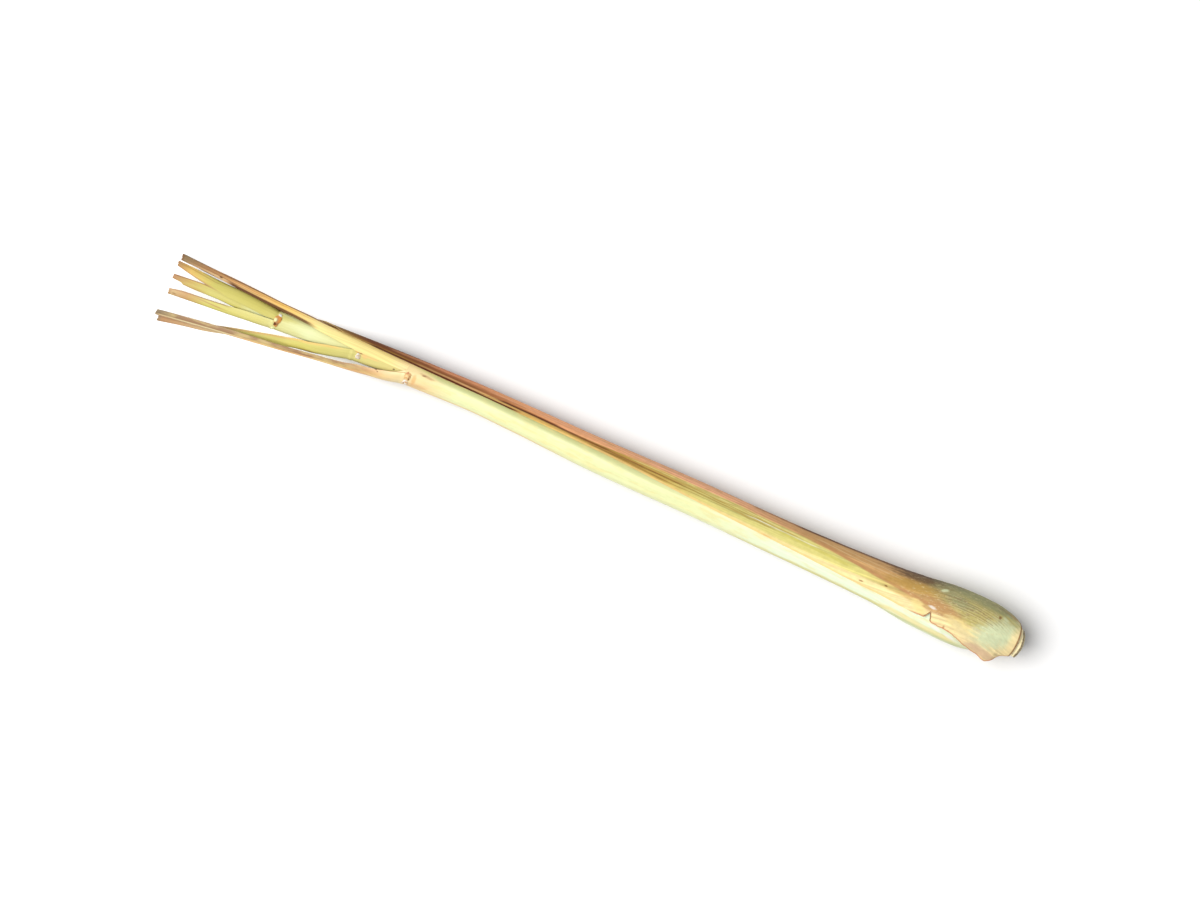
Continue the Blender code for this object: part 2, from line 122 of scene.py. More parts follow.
# The photograph and the stage.
PIXEL = 0.39  # millimetres that a pixel of the photograph covers
ORIGIN = (-4.5, -1.25)  # of the part, in pixels along the stalk and down from the picture's middle
PICTURE_WIDTH = 1200  # pixels
CAMERA_PLACE = (-0.43, 4.93, 3000.0)
CAMERA_TURN = 22.0
SUBJECT_HEIGHT = 10.0
SENSOR = 36.0
FLOOR_SIZE = 6.0  # metres
FLOOR_GAP = 0.05
SUN_SIZE = 50.0  # degrees across
SUN_ENERGY = 4.25
SUN_COLOUR = (1.0, 0.985, 0.96)
SUN_WAY = (0.56, 0.2, -1.0)
SKY_COLOUR = (0.97, 0.985, 1.0, 1.0)
SKY = 0.53
REFLECTED = 0.66  # how much of the light a white spot of the stalk gives back
FLOOR_REFLECTED = 0.68
FLOOR_GLOW = 0.55  # painted light: the floor glows towards the leaf end and washes out the shadows there
GLOW_EDGE = (-80, -135)
STROKE_FADE = 14.0  # pixels over which a painted line ends
WARPED = 3.0  # smaller patches have a plain outline


def slopes(keys):
    """The slope of a smooth curve at each key, flat at a turning point so that it never overshoots."""
    rises = [(b[1] - a[1]) / (b[0] - a[0]) for a, b in zip(keys, keys[1:])]
    inner = [2 * p * q / (p + q) if p * q > 0 else 0.0 for p, q in zip(rises, rises[1:])]
    return [rises[0], *inner, rises[-1]]


def along(keys, x):
    """The value of the keys at x, held level beyond their ends."""
    if x <= keys[0][0]:
        return keys[0][1]
    if x >= keys[-1][0]:
        return keys[-1][1]
    slope = slopes(keys)
    i = next(i for i in range(len(keys) - 1) if x <= keys[i + 1][0])
    (x0, v0), (x1, v1) = keys[i], keys[i + 1]
    width = x1 - x0
    t = (x - x0) / width
    start = (1 + 2 * t) * (1 - t) ** 2 * v0 + t * (1 - t) ** 2 * width * slope[i]
    return start + t * t * (3 - 2 * t) * v1 + t * t * (t - 1) * width * slope[i + 1]


def eased(t):
    t = min(max(t, 0.0), 1.0)
    return t * t * (3 - 2 * t)


def rise(x, start, end):
    """0 at the start, 1 at the end, on either side of which it stays."""
    return eased((x - start) / (end - start))


def mouth_wrap(mouth, end):
    steps = len(MOUTH_PLACES) - 1
    keys = [(mouth + way, end + (FULL_WRAP - end) * n / steps) for n, way in enumerate(MOUTH_PLACES)]
    return [*keys, (172, FULL_WRAP)]


@dataclass
class Leaf:
    name: str
    layer: int
    side: int
    base: float
    mouth: float
    tip: float
    columns: int  # across each half
    front_wrap: list
    blade: list
    shown_to: float = 200.0  # towards the root end it is hidden from here on
    step: float = 0.9  # between sections, where it shows
    veins: int = 10  # across each half
    vein_height: float = 0.05
    thin: float = 0.26  # its thickness at the margins
    back_wrap: list = None  # where it differs from the front
    roll: list = FLAT
    lift: list = FLAT
    collar: bool = False


OUTER = Leaf(
    name="outer_leaf", layer=6, side=1, base=177, mouth=-126, tip=-180, columns=44, veins=15, thin=0.22,
    front_wrap=[(-126, 22), (-120, 26), (-115, 38), (-110, 44), (-95, 51), (-81, 58), (-57, 68), (-37, 70),
                (0, 73), (41, 92), (80, 102), (119, 114), (138.2, 113), (140.2, 112), (141.2, 107),
                (142.2, 99), (142.9, 114), (144, 117.5), (148.8, 120), (152, 123), (158, 135.5), (162, 146),
                (169, 158), (177, 160)],
    back_wrap=[(-126, 22), (-120, 26), (-115, 38), (-110, 50), (-95, 55), (-57, 72), (-37, 76), (0, 80),
               (41, 96), (80, 106), (119, 118), (140, 122), (158, 124), (170, 156), (177, 160)],
    blade=[(-140, 11, 1.7, 1.9, 1), (-155, 13.2, 1.6, 2.6, 0.8), (-170, 14.3, 1.25, 2.6, 0.7),
           (-180, 15.09, 1.02, 1.7, 0.7)],
    roll=[(-170, 0), (-155, -10), (-140, -42), (-126, -57), (-120, -46), (-116, -30), (-110, -8), (-95, 0)],
    lift=[(160, 0), (165, 1), (168.5, 2.7), (171, 2.6), (173, 0.6), (174.5, 0)],
)
PALE = Leaf(
    name="pale_leaf", layer=5, side=-1, base=172.5, mouth=-82.2, tip=-181.46, columns=36, veins=14,
    vein_height=0.035, thin=0.22,
    front_wrap=mouth_wrap(-82.2, 91),
    blade=[(-86, -0.9, 7.25, 4.3, 4.5), (-90, -1.55, 7.15, 3.75, 3.5), (-96, -2.1, 7, 3.1, 2.1),
           (-100, -2.6, 6.9, 3.1, 1.6), (-107, -3.3, 6.6, 2.4, 1.25), (-115, -4, 6.4, 2.1, 1.1),
           (-131, -5.8, 6, 2.05, 1), (-146, -7.3, 5.2, 2.3, 1), (-162, -8.9, 4.4, 2.4, 1),
           (-181.46, -11, 3.9, 2.3, 1)],
    collar=True,
)
TOP = Leaf(
    name="top_leaf", layer=4, side=1, base=168, mouth=-103, tip=-180, columns=30, shown_to=-62,
    front_wrap=[(-103, 93), (-76, 97), (-40, 150), (168, 150)],
    blade=[(-108, 10.4, 6.9, 4.6, 4.7), (-115, 10.45, 6.8, 3.9, 4.5), (-120, 10.8, 6.8, 3.7, 4.1),
           (-124, 11.2, 6.7, 3.6, 3.7), (-130, 11.5, 6.5, 3.3, 3.1), (-136, 11.8, 6.3, 3.1, 2.4),
           (-145, 12.6, 6.2, 3.2, 2.05), (-154, 13.3, 6, 3.1, 1.9), (-160, 13.7, 5.7, 2.8, 1.7),
           (-170, 14.2, 4.7, 2.3, 1.2), (-180, 15, 3.8, 2.6, 1.05)],
)
LOWER = Leaf(
    name="lower_leaf", layer=3, side=-1, base=164, mouth=-104.2, tip=-180.2, columns=28, shown_to=-76,
    front_wrap=mouth_wrap(-104.2, 88),
    blade=[(-107.5, 0.4, 6.8, 4.1, 4.2), (-111, -0.4, 6.65, 4.2, 4), (-115, -1.2, 6.5, 4.2, 3.8),
           (-119, -2, 6.2, 4.1, 3.3), (-122.5, -2.4, 5.6, 3.8, 2.8), (-126, -2.85, 4.8, 3.9, 2.1),
           (-131, -4, 3.5, 3.9, 1.6), (-137, -4.9, 3.1, 3.6, 1.4), (-146, -6.4, 2.3, 3.1, 1.15),
           (-154, -8.2, 1.85, 3.1, 1), (-162, -10, 1.45, 2.8, 0.85), (-170, -11.2, 1.2, 2.2, 0.75),
           (-180, -13, 1.03, 2.1, 0.7)],
    collar=True,
)
MIDDLE = Leaf(
    name="middle_leaf", layer=2, side=-1, base=160, mouth=-137.5, tip=-180, columns=26, shown_to=-98,
    front_wrap=mouth_wrap(-137.5, 80),
    blade=[(-141, 0.5, 6.2, 3.5, 3.3), (-148, 0.1, 5.9, 3.5, 2.3), (-154, -0.3, 5.6, 3.3, 1.7),
           (-166, -0.9, 5, 2.95, 1.2), (-174, -1.3, 4.6, 2.9, 1.1), (-180, -1.65, 4.3, 2.35, 1)],
    collar=True,
)
INNER = Leaf(
    name="inner_leaf", layer=1, side=1, base=156, mouth=-135, tip=-180.4, columns=22, shown_to=-130,
    front_wrap=[(-135, 100), (-120, 150), (156, 150)],
    blade=[(-138, 8.7, 6.3, 4.3, 2.65), (-143, 9.35, 6.3, 4.9, 2.5), (-148, 9.9, 6.2, 5, 2.35),
           (-154, 10.3, 6.05, 5, 2.15), (-160, 10.45, 6.05, 4.4, 1.95), (-168.5, 11.1, 6.15, 3.7, 1.65),
           (-174, 11.55, 6.5, 3.05, 1.2), (-180.4, 12, 6.8, 2.1, 0.9)],
)
HEART = Leaf(
    name="heart_leaf", layer=0, side=-1, base=152, mouth=-135, tip=-180.4, columns=20, shown_to=-130,
    front_wrap=[(-135, 100), (-120, 145), (156, 145)],
    blade=[(-138, 2.8, 6.3, 3, 1.7), (-143, 2.6, 6.25, 3.8, 1.4), (-148, 2.7, 6.2, 4.3, 1.1),
           (-154, 3.1, 6.1, 4.3, 0.9), (-162, 3.6, 6, 3.8, 0.8), (-170, 3.6, 6, 3.5, 0.75),
           (-174, 3.7, 5.9, 3.2, 0.75), (-180.4, 4.2, 5.7, 2.4, 0.72)],
)
LEAVES = (OUTER, PALE, TOP, LOWER, MIDDLE, INNER, HEART)


def sheath_radius(leaf, x):
    if leaf is OUTER:
        return along(OUTER_RADIUS, x)
    return along(HEART_RADIUS, x) + leaf.layer * along(STEP, x)


def sheath_wall(leaf, x):
    if leaf is OUTER:
        return along(OUTER_WALL, x)
    return along(STEP, x) - along(CLEARANCE, x)


def middle_radius(leaf, x):
    return sheath_radius(leaf, x) - sheath_wall(leaf, x) / 2


def wraps(leaf, x):
    """How far it reaches round from its midrib to its front and to its back margin."""
    return [radians(along(keys, x)) for keys in (leaf.front_wrap, leaf.back_wrap or leaf.front_wrap)]


def arc_point(radius, wrap, t):
    angle = wrap * t
    return radius * (1 - cos(angle)), radius * sin(angle), angle


def fold_point(depth, spread, heading, start, end, t):
    inwards = (0.0, 0.0, depth - end * sin(heading), depth)
    sideways = (0.0, start, spread - end * cos(heading), spread)
    weights = ((1 - t) ** 3, 3 * t * (1 - t) ** 2, 3 * t * t * (1 - t), t**3)
    rates = (-3 * (1 - t) ** 2, 3 * (1 - t) ** 2 - 6 * t * (1 - t), 6 * t * (1 - t) - 3 * t * t, 3 * t * t)
    along_in, along_side = (sum(r * v for r, v in zip(rates, way)) for way in (inwards, sideways))
    place_in, place_side = (sum(w * v for w, v in zip(weights, way)) for way in (inwards, sideways))
    return place_in, place_side, atan2(along_in, along_side)


def mouth_keys(leaf):
    radius, middle = sheath_radius(leaf, leaf.mouth), middle_radius(leaf, leaf.mouth)
    wrap = wraps(leaf, leaf.mouth)[0]
    turn = radians(along(leaf.roll, leaf.mouth))
    fold_y = along(AXIS_Y, leaf.mouth) + leaf.side * radius * cos(turn)
    fold_z = along(AXIS_Z, leaf.mouth) + middle * sin(turn)
    return leaf.mouth, fold_y, fold_z, radius - middle * cos(wrap), middle * sin(wrap)


class Section:
    """The leaf's section at x: point(t) gives its middle surface and outward direction at share t."""

    def __init__(self, leaf, x):
        self.leaf = leaf
        turn = radians(along(leaf.roll, x))
        self.out = (leaf.side * cos(turn), sin(turn))
        self.lift = along(leaf.lift, x)
        if x >= leaf.mouth:
            self.wall = sheath_wall(leaf, x)
            middle = middle_radius(leaf, x)
            self.origin = (along(AXIS_Y, x) + self.out[0] * middle, along(AXIS_Z, x) + self.out[1] * middle)
            self.halves = [(lambda t, wrap=wrap: arc_point(middle, wrap, t)) for wrap in wraps(leaf, x)]
            return
        keys = sorted([*leaf.blade, mouth_keys(leaf)])
        fold_y, fold_z, depth, spread = (along([(k[0], k[n]) for k in keys], x) for n in (1, 2, 3, 4))
        share = eased((leaf.mouth - x) / OPENING)
        self.wall = (1 - share) * sheath_wall(leaf, leaf.mouth) + share * BLADE_WALL
        wrap = wraps(leaf, leaf.mouth)[0]
        handle = 4 / 3 * tan(wrap / 4) * middle_radius(leaf, leaf.mouth)
        heading = (1 - share) * wrap + share * radians(BLADE_HEADING)
        start = (1 - share) * handle + share * max(FOLD_HANDLE, FOLD_SHARE * spread)
        end = (1 - share) * handle + share * MARGIN_SHARE * depth
        self.origin = (fold_y - self.out[0] * self.wall / 2, fold_z)
        depth -= self.wall / 2
        self.halves = [lambda t: fold_point(depth, spread, heading, start, end, t)] * 2

    def point(self, t):
        across = 1 if t >= 0 else -1
        share = abs(t)
        inwards, sideways, heading = self.halves[t < 0](share)
        out = self.out
        tangent = (-out[1] * across * self.leaf.side, out[0] * across * self.leaf.side)
        normal = tuple(o * cos(heading) + s * sin(heading) for o, s in zip(out, tangent))
        raised = self.lift * max(0.0, (share - FLAP_FROM) / (1 - FLAP_FROM)) ** 2 if t > 0 else 0.0
        ways = zip(self.origin, out, tangent, normal)
        return tuple(c - o * inwards + s * sideways + n * raised for c, o, s, n in ways), normal


def collar_height(leaf, x, t):
    if not leaf.collar or abs(x - leaf.mouth) > COLLAR_HALF:
        return 0.0
    reach = abs(t) * degrees(wraps(leaf, x)[0])
    height = COLLAR * eased(1 - abs(x - leaf.mouth) / COLLAR_HALF)
    return height * eased((COLLAR_REACH - reach) / COLLAR_FADE)


def rough(x, y, z):
    """Smooth noise from about -1 to 1."""
    return noise.noise(Vector((x, y, z)))


def hump(value, centre, half):
    """1 at the centre, 0 half away and beyond."""
    return eased(1 - abs(value - centre) / half)


def relief(leaf, x, t, y):
    """How far the outer face stands out of the plain form: veins, and the outer leaf's groove and lumps."""
    vein = cos(tau * leaf.veins * (t + 0.012 * rough(x / 60, t * 3, leaf.layer)))
    fine = 0.5 + 0.5 * rough(x / 40, t * leaf.veins * 1.3, 7.0 + leaf.layer)
    height = leaf.vein_height * vein * fine
    if leaf is OUTER:
        bulb = rise(x, *BULB)
        height *= 1.0 + 0.5 * bulb
        for depth, below, half, start, end in CREASES:
            height -= depth * rise(x, *start) * rise(x, *end) * hump(y, along(GROOVE, x) - below, half)
        height += LUMPS * bulb * rough(x / 5, t * 6, 3.0)
    return height


def ragged(leaf, x, t):
    """How far a point moves along X, for ends that aren't cut clean."""
    near_tip = rise(x, leaf.tip + TIP_RAGGED, leaf.tip)
    moved = near_tip * (0.55 * rough(t * 5, leaf.layer, 1.0) + 0.3 * rough(t * 17, leaf.layer, 2.0))
    if leaf is HEART:
        moved += HEART_NOTCH * near_tip * rise(abs(t), 0.34, 0.24)
    if leaf is MIDDLE:
        moved += MIDDLE_NOTCH * near_tip * hump(t, 0.35, 0.2)
    if leaf is OUTER:
        near_base = rise(x, leaf.base - OUTER_END_LENGTH, leaf.base)
        moved += near_base * (along(OUTER_END, t) + 0.1 * rough(t * 6, 2.0, 8.0))
    return moved


def torn(leaf, x):
    """Change of the front wrap, in degrees, that tears the outer leaf's margin."""
    if leaf is not OUTER:
        return 0.0
    amount = 0.35 + TORN * rise(x, *TORN_FROM) * rise(x, *TORN_TO)
    return amount * (rough(x / 2.1, 0.3, 5.0) + 0.6 * rough(x / 0.9, 0.7, 6.0))


def rows_of(leaf):
    """Where the sections are taken, closer together where there is more to see."""
    coarse = 1.0
    places, x = [], leaf.base
    while x > leaf.tip + 0.3:
        places.append(x)
        if x > leaf.shown_to:
            x -= HIDDEN_STEP
        elif leaf is OUTER and x > 135.5:
            x -= BULB_STEP * coarse
        elif leaf.collar and abs(x - leaf.mouth) < 3:
            x -= COLLAR_STEP
        elif x < leaf.tip + 6:
            x -= TIP_STEP
        else:
            x -= leaf.step * coarse
    return [*places, leaf.tip]


def added(name, data):
    """A new object in the scene."""
    made = bpy.data.objects.new(name, data)
    bpy.context.scene.collection.objects.link(made)
    return made


def solid(name, points, faces, sharp, facts):
    """A smooth piece with its sharpest edges kept, and with the facts that its material reads."""
    mesh = bpy.data.meshes.new(name)
    mesh.from_pydata([[v * MM for v in point] for point in points], [], faces)
    for fact, values in facts:
        mesh.attributes.new(fact, "FLOAT", "POINT").data.foreach_set("value", values)
    mesh.shade_smooth()
    mesh.set_sharp_from_angle(angle=radians(sharp))
    return added(name, mesh)


def hoops(count, sides):
    """The faces between rings of points, each ring with the next."""
    faces = []
    for ring in range(count - 1):
        for k in range(sides):
            a, b = ring * sides + k, ring * sides + (k + 1) % sides
            faces.append((a, b, b + sides, a + sides))
    return faces


def fine_leaf(leaf):
    """Builds the leaf as one closed shell."""
    half = leaf.columns
    shares = [k / half for k in range(-half, half + 1)]
    width = len(shares)
    rows = rows_of(leaf)
    points, facts = [], []
    for x in rows:
        section = Section(leaf, x)
        wall, stretch = section.wall, 1.0
        if x < leaf.mouth:
            wall = FINE_WALL + (wall - FINE_WALL) * rise(x, leaf.mouth - OPENING, leaf.mouth)
        if x > leaf.mouth:
            stretch += radians(torn(leaf, x)) / wraps(leaf, x)[0]
        placed = [section.point(t * stretch if t > 0 else t) for t in shares]
        arcs = [0.0]
        for (here, _), (before, _) in zip(placed[1:], placed):
            arcs.append(arcs[-1] + dist(here, before))
        outer, inner, fact = [], [], []
        for t, arc, (place, normal) in zip(shares, arcs, placed):
            rim = min(arc, arcs[-1] - arc)
            thick = leaf.thin + (wall - leaf.thin) * rise(rim, 0, THINS_OVER)
            raised = collar_height(leaf, x, t) + relief(leaf, x, t, place[0]) * rise(rim, 0, RELIEF_FADE)
            at = x + ragged(leaf, x, t)
            for sheet, height in ((outer, section.wall / 2 + raised), (inner, section.wall / 2 - thick)):
                y, z = (p + n * height for p, n in zip(place, normal))
                sheet.append((at, y, max(z, 0.0)))
            fact.append((t, arc - arcs[half], rim, leaf.base - x))
        points += outer + inner
        facts += [(*given, skin) for skin in (1.0, 0.0) for given in fact]
    faces, corners = [], []
    last, end = width - 1, len(rows) - 1

    def add(quad, band):
        """A face through (row, column, sheet), with its place in a band of the map."""
        for row, k, sheet in quad[::-1] if leaf.side > 0 else quad:
            along_band = min(max(row / end * BANDS - band, 0.0), 1.0)
            start, room = FACE_STRIPS[sheet]
            corners.append((0.01 + 0.98 * along_band, (band + start + room * k / last) / BANDS))
            faces.append((2 * row + sheet) * width + k)

    for row in range(end):
        band = min(int((row + 0.5) / end * BANDS), BANDS - 1)
        for k in range(last):
            add([(row, k, 0), (row, k + 1, 0), (row + 1, k + 1, 0), (row + 1, k, 0)], band)
            add([(row, k, 1), (row + 1, k, 1), (row + 1, k + 1, 1), (row, k + 1, 1)], band)
        add([(row, 0, 1), (row, 0, 0), (row + 1, 0, 0), (row + 1, 0, 1)], band)
        add([(row, last, 0), (row, last, 1), (row + 1, last, 1), (row + 1, last, 0)], band)
    for k in range(last):
        add([(0, k + 1, 0), (0, k, 0), (0, k, 1), (0, k + 1, 1)], 0)
    for k in range(last):
        add([(end, k + 1, 1), (end, k, 1), (end, k, 0), (end, k + 1, 0)], BANDS - 1)
    faces = [faces[n:n + 4] for n in range(0, len(faces), 4)]
    piece = solid(leaf.name + "_fine", points, faces, LEAF_SHARP, zip(FACTS, zip(*facts)))
    layer = piece.data.uv_layers.new(name="OFBake")
    layer.data.foreach_set("uv", [value for corner in corners for value in corner])
    return piece


def linear(colour):
    """A colour given as it looks, 0 to 255, as the shader wants it."""
    parts = [c / 255 for c in colour]
    return [*(p / 12.92 if p <= 0.04045 else ((p + 0.055) / 1.055) ** 2.4 for p in parts), 1.0]


# The stalk's colours, as they look in white light.
WHITE = (250, 248, 240)
MILK = (240, 252, 218)
CREAM = (242, 246, 186)
BISQUE = (248, 224, 166)
STRAW = (244, 224, 148)
PEAR = (224, 214, 130)
LIME = (214, 204, 108)
GREEN = (204, 208, 144)
SAGE = (216, 225, 182)
LINEN = (228, 210, 162)
FERN = (190, 177, 110)
MOSS = (150, 151, 110)
OLIVE = (178, 142, 68)
HONEY = (204, 172, 90)
GOLD = (240, 196, 106)
APRICOT = (248, 206, 132)
ORANGE = (232, 156, 70)
PEACH = (228, 180, 122)
SAND = (214, 184, 136)
TAN = (204, 160, 106)
BLUSH = (214, 180, 146)
SALMON = (248, 184, 142)
PINK = (236, 165, 112)
ROSE = (206, 130, 94)
CLAY = (186, 138, 92)
KHAKI = (150, 128, 94)
UMBER = (134, 80, 40)
BARK = (82, 34, 10)
SLATE = (94, 72, 54)
IVORY = (255, 244, 204)
BUTTER = (250, 230, 170)
PAPER = (254, 254, 255)
PAPER_SHADE = (252, 252, 253)


def photo(x, y):
    """X and Y of a place in the photograph that lies x along the stalk and y down from its middle."""
    return (x - ORIGIN[0]) * PIXEL, (ORIGIN[1] - y) * PIXEL


class Amount:
    """A number that a material works out at every spot. Sums and products of amounts are nodes."""

    def __init__(self, look, socket):
        self.look, self.socket = look, socket

    def __add__(self, other):
        return self.look.math("ADD", self, other)

    def __radd__(self, other):
        return self.look.math("ADD", other, self)

    def __sub__(self, other):
        return self.look.math("SUBTRACT", self, other)

    def __rsub__(self, other):
        return self.look.math("SUBTRACT", other, self)

    def __mul__(self, other):
        return self.look.math("MULTIPLY", self, other)

    def __abs__(self):
        return self.look.math("ABSOLUTE", self)


class Look:
    """One material. Its colour is laid on in turn and goes into the shader at the end."""

    def __init__(self, name, roughness, specular):
        self.material = bpy.data.materials.new(name)
        self.material.use_nodes = True
        self.tree = self.material.node_tree
        self.shader = self.tree.nodes["Principled BSDF"]
        self.shader.inputs["Roughness"].default_value = roughness
        self.shader.inputs["Specular IOR Level"].default_value = specular
        spot = self.node("ShaderNodeTexCoord").outputs["Object"]
        split = self.node("ShaderNodeSeparateXYZ", [(0, spot)])
        self.x, self.y, self.z = (Amount(self, split.outputs[n]) * (1 / MM) for n in range(3))

    def put(self, socket, value):
        """Sets the socket to a number or a colour, or links it."""
        if isinstance(value, Amount):
            value = value.socket
        if isinstance(value, bpy.types.NodeSocket):
            self.tree.links.new(value, socket)
        else:
            socket.default_value = linear(value) if isinstance(value, tuple) else value

    def node(self, kind, inputs=(), **settings):
        """A node with these settings, and its inputs by name or number."""
        made = self.tree.nodes.new(kind)
        for name, value in settings.items():
            setattr(made, name, value)
        for name, value in inputs:
            self.put(made.inputs[name], value)
        return made

    def math(self, operation, *values):
        return Amount(self, self.node("ShaderNodeMath", enumerate(values), operation=operation).outputs[0])

    def read(self, name):
        return Amount(self, self.node("ShaderNodeAttribute", attribute_name=name).outputs["Fac"])

    def share_of(self, value, low, high, kind="LINEAR", flip=False):
        """Where value lies between low and high, 0 to 1, or 1 to 0."""
        inputs = (("Value", value), ("From Min", low), ("From Max", high),
                  ("To Min", float(flip)), ("To Max", float(not flip)))
        made = self.node("ShaderNodeMapRange", inputs, interpolation_type=kind)
        return Amount(self, made.outputs["Result"])

    def step(self, value, low, high):
        """Smoothly from 0 at low to 1 at high."""
        return self.share_of(value, min(low, high), max(low, high), "SMOOTHSTEP", low > high)

    def curve(self, keys):
        """A keyed curve's value along X, straight between its keys."""
        low, high = keys[0][0], keys[-1][0]
        values = [value for _, value in keys]
        least, span = min(values), max(values) - min(values)
        made = self.node("ShaderNodeFloatCurve")
        points = made.mapping.curves[0].points
        while len(points) < len(keys):
            points.new(0.5, 0.5)
        for point, (place, value) in zip(points, keys):
            point.location = ((place - low) / (high - low), (value - least) / span)
            point.handle_type = "VECTOR"
        made.mapping.update()
        self.put(made.inputs["Value"], self.share_of(self.x, low, high))
        return Amount(self, made.outputs["Value"]) * span + least

    def line(self, places):
        """A curve through places in the photograph."""
        return self.curve([photo(*place) for place in places])

    def lengthwise(self, stops):
        """Colours along the stalk, each from a place in the photograph."""
        low, high = stops[0][0], stops[-1][0]
        made = self.node("ShaderNodeValToRGB")
        elements = made.color_ramp.elements
        while len(elements) < len(stops):
            elements.new(0.5)
        for element, (place, colour) in zip(elements, stops):
            element.position = (place - low) / (high - low)
            element.color = linear(colour)
        self.put(made.inputs[0], self.share_of(self.x, photo(low, 0)[0], photo(high, 0)[0]))
        return made.outputs["Color"]

    def noise(self, x, y, z, detail=2.0):
        """Noise from 0 to 1, about one wave for each unit."""
        spot = self.node("ShaderNodeCombineXYZ", enumerate((x, y, z))).outputs[0]
        made = self.node("ShaderNodeTexNoise", (("Vector", spot), ("Scale", 1.0), ("Detail", detail)))
        return Amount(self, made.outputs["Fac"])

    def away(self, x, y, half_x, half_y, turn):
        """How far off a place in the photograph is, where 1 is the edge of an oval with these half sizes in
        pixels that is turned so many degrees."""
        at_x, at_y = photo(x, y)
        across, up = self.x - at_x, self.y - at_y
        ahead, aside = cos(radians(turn)) / PIXEL, sin(radians(turn)) / PIXEL
        long_way = across * (ahead / half_x) + up * (aside / half_x)
        short_way = up * (ahead / half_y) - across * (aside / half_y)
        return self.math("SQRT", long_way * long_way + short_way * short_way)

    def mix(self, share, a, b, kind="MIX"):
        """Colour a with a share of b over it. The numbers are those of the node's colour sockets."""
        inputs = ((0, share), (6, a), (7, b))
        return self.node("ShaderNodeMix", inputs, data_type="RGBA", blend_type=kind).outputs[2]

    def scale(self, colour, amount):
        """The colour, lighter or darker."""
        grey = self.node("ShaderNodeCombineColor", enumerate([amount] * 3)).outputs[0]
        return self.mix(1.0, colour, grey, "MULTIPLY")

    def lay(self, tone, strength, *steps):
        """Lays the tone over the colour so far, fully as strong where all the steps are 1."""
        for step in steps:
            strength = self.step(*step) * strength
        self.colour = self.mix(strength, self.colour, tone)

    def shade(self, amount):
        self.colour = self.scale(self.colour, amount)

    def finish(self, bump, distance, reflected=REFLECTED):
        """The material, with bumps as high as the distance."""
        self.put(self.shader.inputs["Base Color"], self.scale(self.colour, reflected))
        bumps = self.node("ShaderNodeBump", (("Distance", distance * MM), ("Height", bump)))
        self.put(self.shader.inputs["Normal"], bumps.outputs[0])
        return self.material


class LeafLook(Look):
    """A leaf's material: coordinates on the leaf, and fibres that run along it."""

    def __init__(self, leaf, roughness, specular):
        super().__init__(leaf.name, roughness, specular)
        self.seed = 3.1 * leaf.layer
        self.share, self.arc, self.rim, self.base_way, self.skin = map(self.read, FACTS)
        self.end = self.x - leaf.tip
        height = self.z - self.curve(AXIS_Z)
        self.front = self.step(self.share, -0.02, 0.02) * self.step(height, -2.6, 0.4)
        self.upward = self.front * self.step(height, -1.1, 0.7)
        self.wandering = self.y + (self.fibres(3.0, 16, 1.0) - 0.5) * 0.28

    def fibres(self, spacing, length, detail=2.0):
        """Streaks along the leaf, 0 to 1."""
        return self.noise(self.arc * (1 / spacing), self.x * (1 / length), self.seed, detail)

    def blotches(self, size, stretch=1.0, detail=3.0):
        return self.noise(self.arc * (1 / size), self.x * (1 / (size * stretch)), self.seed + 20, detail)

    def ribs(self, period):
        """Even fine ribs along the leaf that swing from -1 to 1."""
        wander = self.fibres(1.2, 14, 1.0) * (2.4 * period)
        return self.math("SINE", (self.arc + wander) * (tau / period))

    def streak(self, amount, spacing, length):
        """Lighter and darker fibres, some broad and some fine."""
        broad = (self.fibres(2.4 * spacing, 2 * length, 0.0) - 0.5) * (2.2 * amount)
        fine = (self.fibres(spacing, length, 1.0) - 0.5) * (2.6 * amount)
        self.shade(1.0 + broad + fine)

    def patch(self, x, y, half_x, half_y, turn):
        """A soft patch on the side towards the camera."""
        away = self.away(x, y, half_x, half_y, turn)
        if half_x > WARPED:
            away = away + (self.blotches(0.9, 3.0) - 0.5) * 1.2
        return self.step(away, 1.5, 0.5) * self.front

    def stroke(self, places, half):
        """A line through places in the photograph, half so many pixels wide."""
        near, far, fade = photo(*places[0])[0], photo(*places[-1])[0], STROKE_FADE * PIXEL
        line = self.step(abs(self.wandering - self.line(places)), 1.6 * half * PIXEL, 0.4 * half * PIXEL)
        ends = self.step(self.x, near - fade, near) * self.step(self.x, far + fade, far)
        return line * ends * self.upward

    def paint(self, strokes, patches):
        for places, half, tone, strength in strokes:
            self.lay(tone, self.stroke(places, half) * strength)
        for x, y, half_x, half_y, turn, tone, strength in patches:
            self.lay(tone, self.patch(x, y, half_x, half_y, turn) * strength)


# What is painted on the leaves, by places in the photograph. Colours along a leaf are (x, colour), strokes
# (places, half width, colour, strength) and patches (x, y, half sizes, turn, colour, strength).
OUTER_BAND = ((-465, KHAKI), (-400, UMBER), (-300, OLIVE), (-260, UMBER), (-220, UMBER), (-180, ROSE),
              (-100, PINK), (60, SALMON), (140, SALMON), (220, TAN), (330, TAN), (390, FERN))
OUTER_MIDDLE = ((-465, UMBER), (-230, UMBER), (-110, CLAY), (10, OLIVE), (60, HONEY), (110, PEAR),
                (280, PEAR), (350, TAN), (430, LINEN))
OUTER_MARGIN = ((-465, UMBER), (-150, UMBER), (-80, GOLD), (80, STRAW), (340, BISQUE), (440, BISQUE))
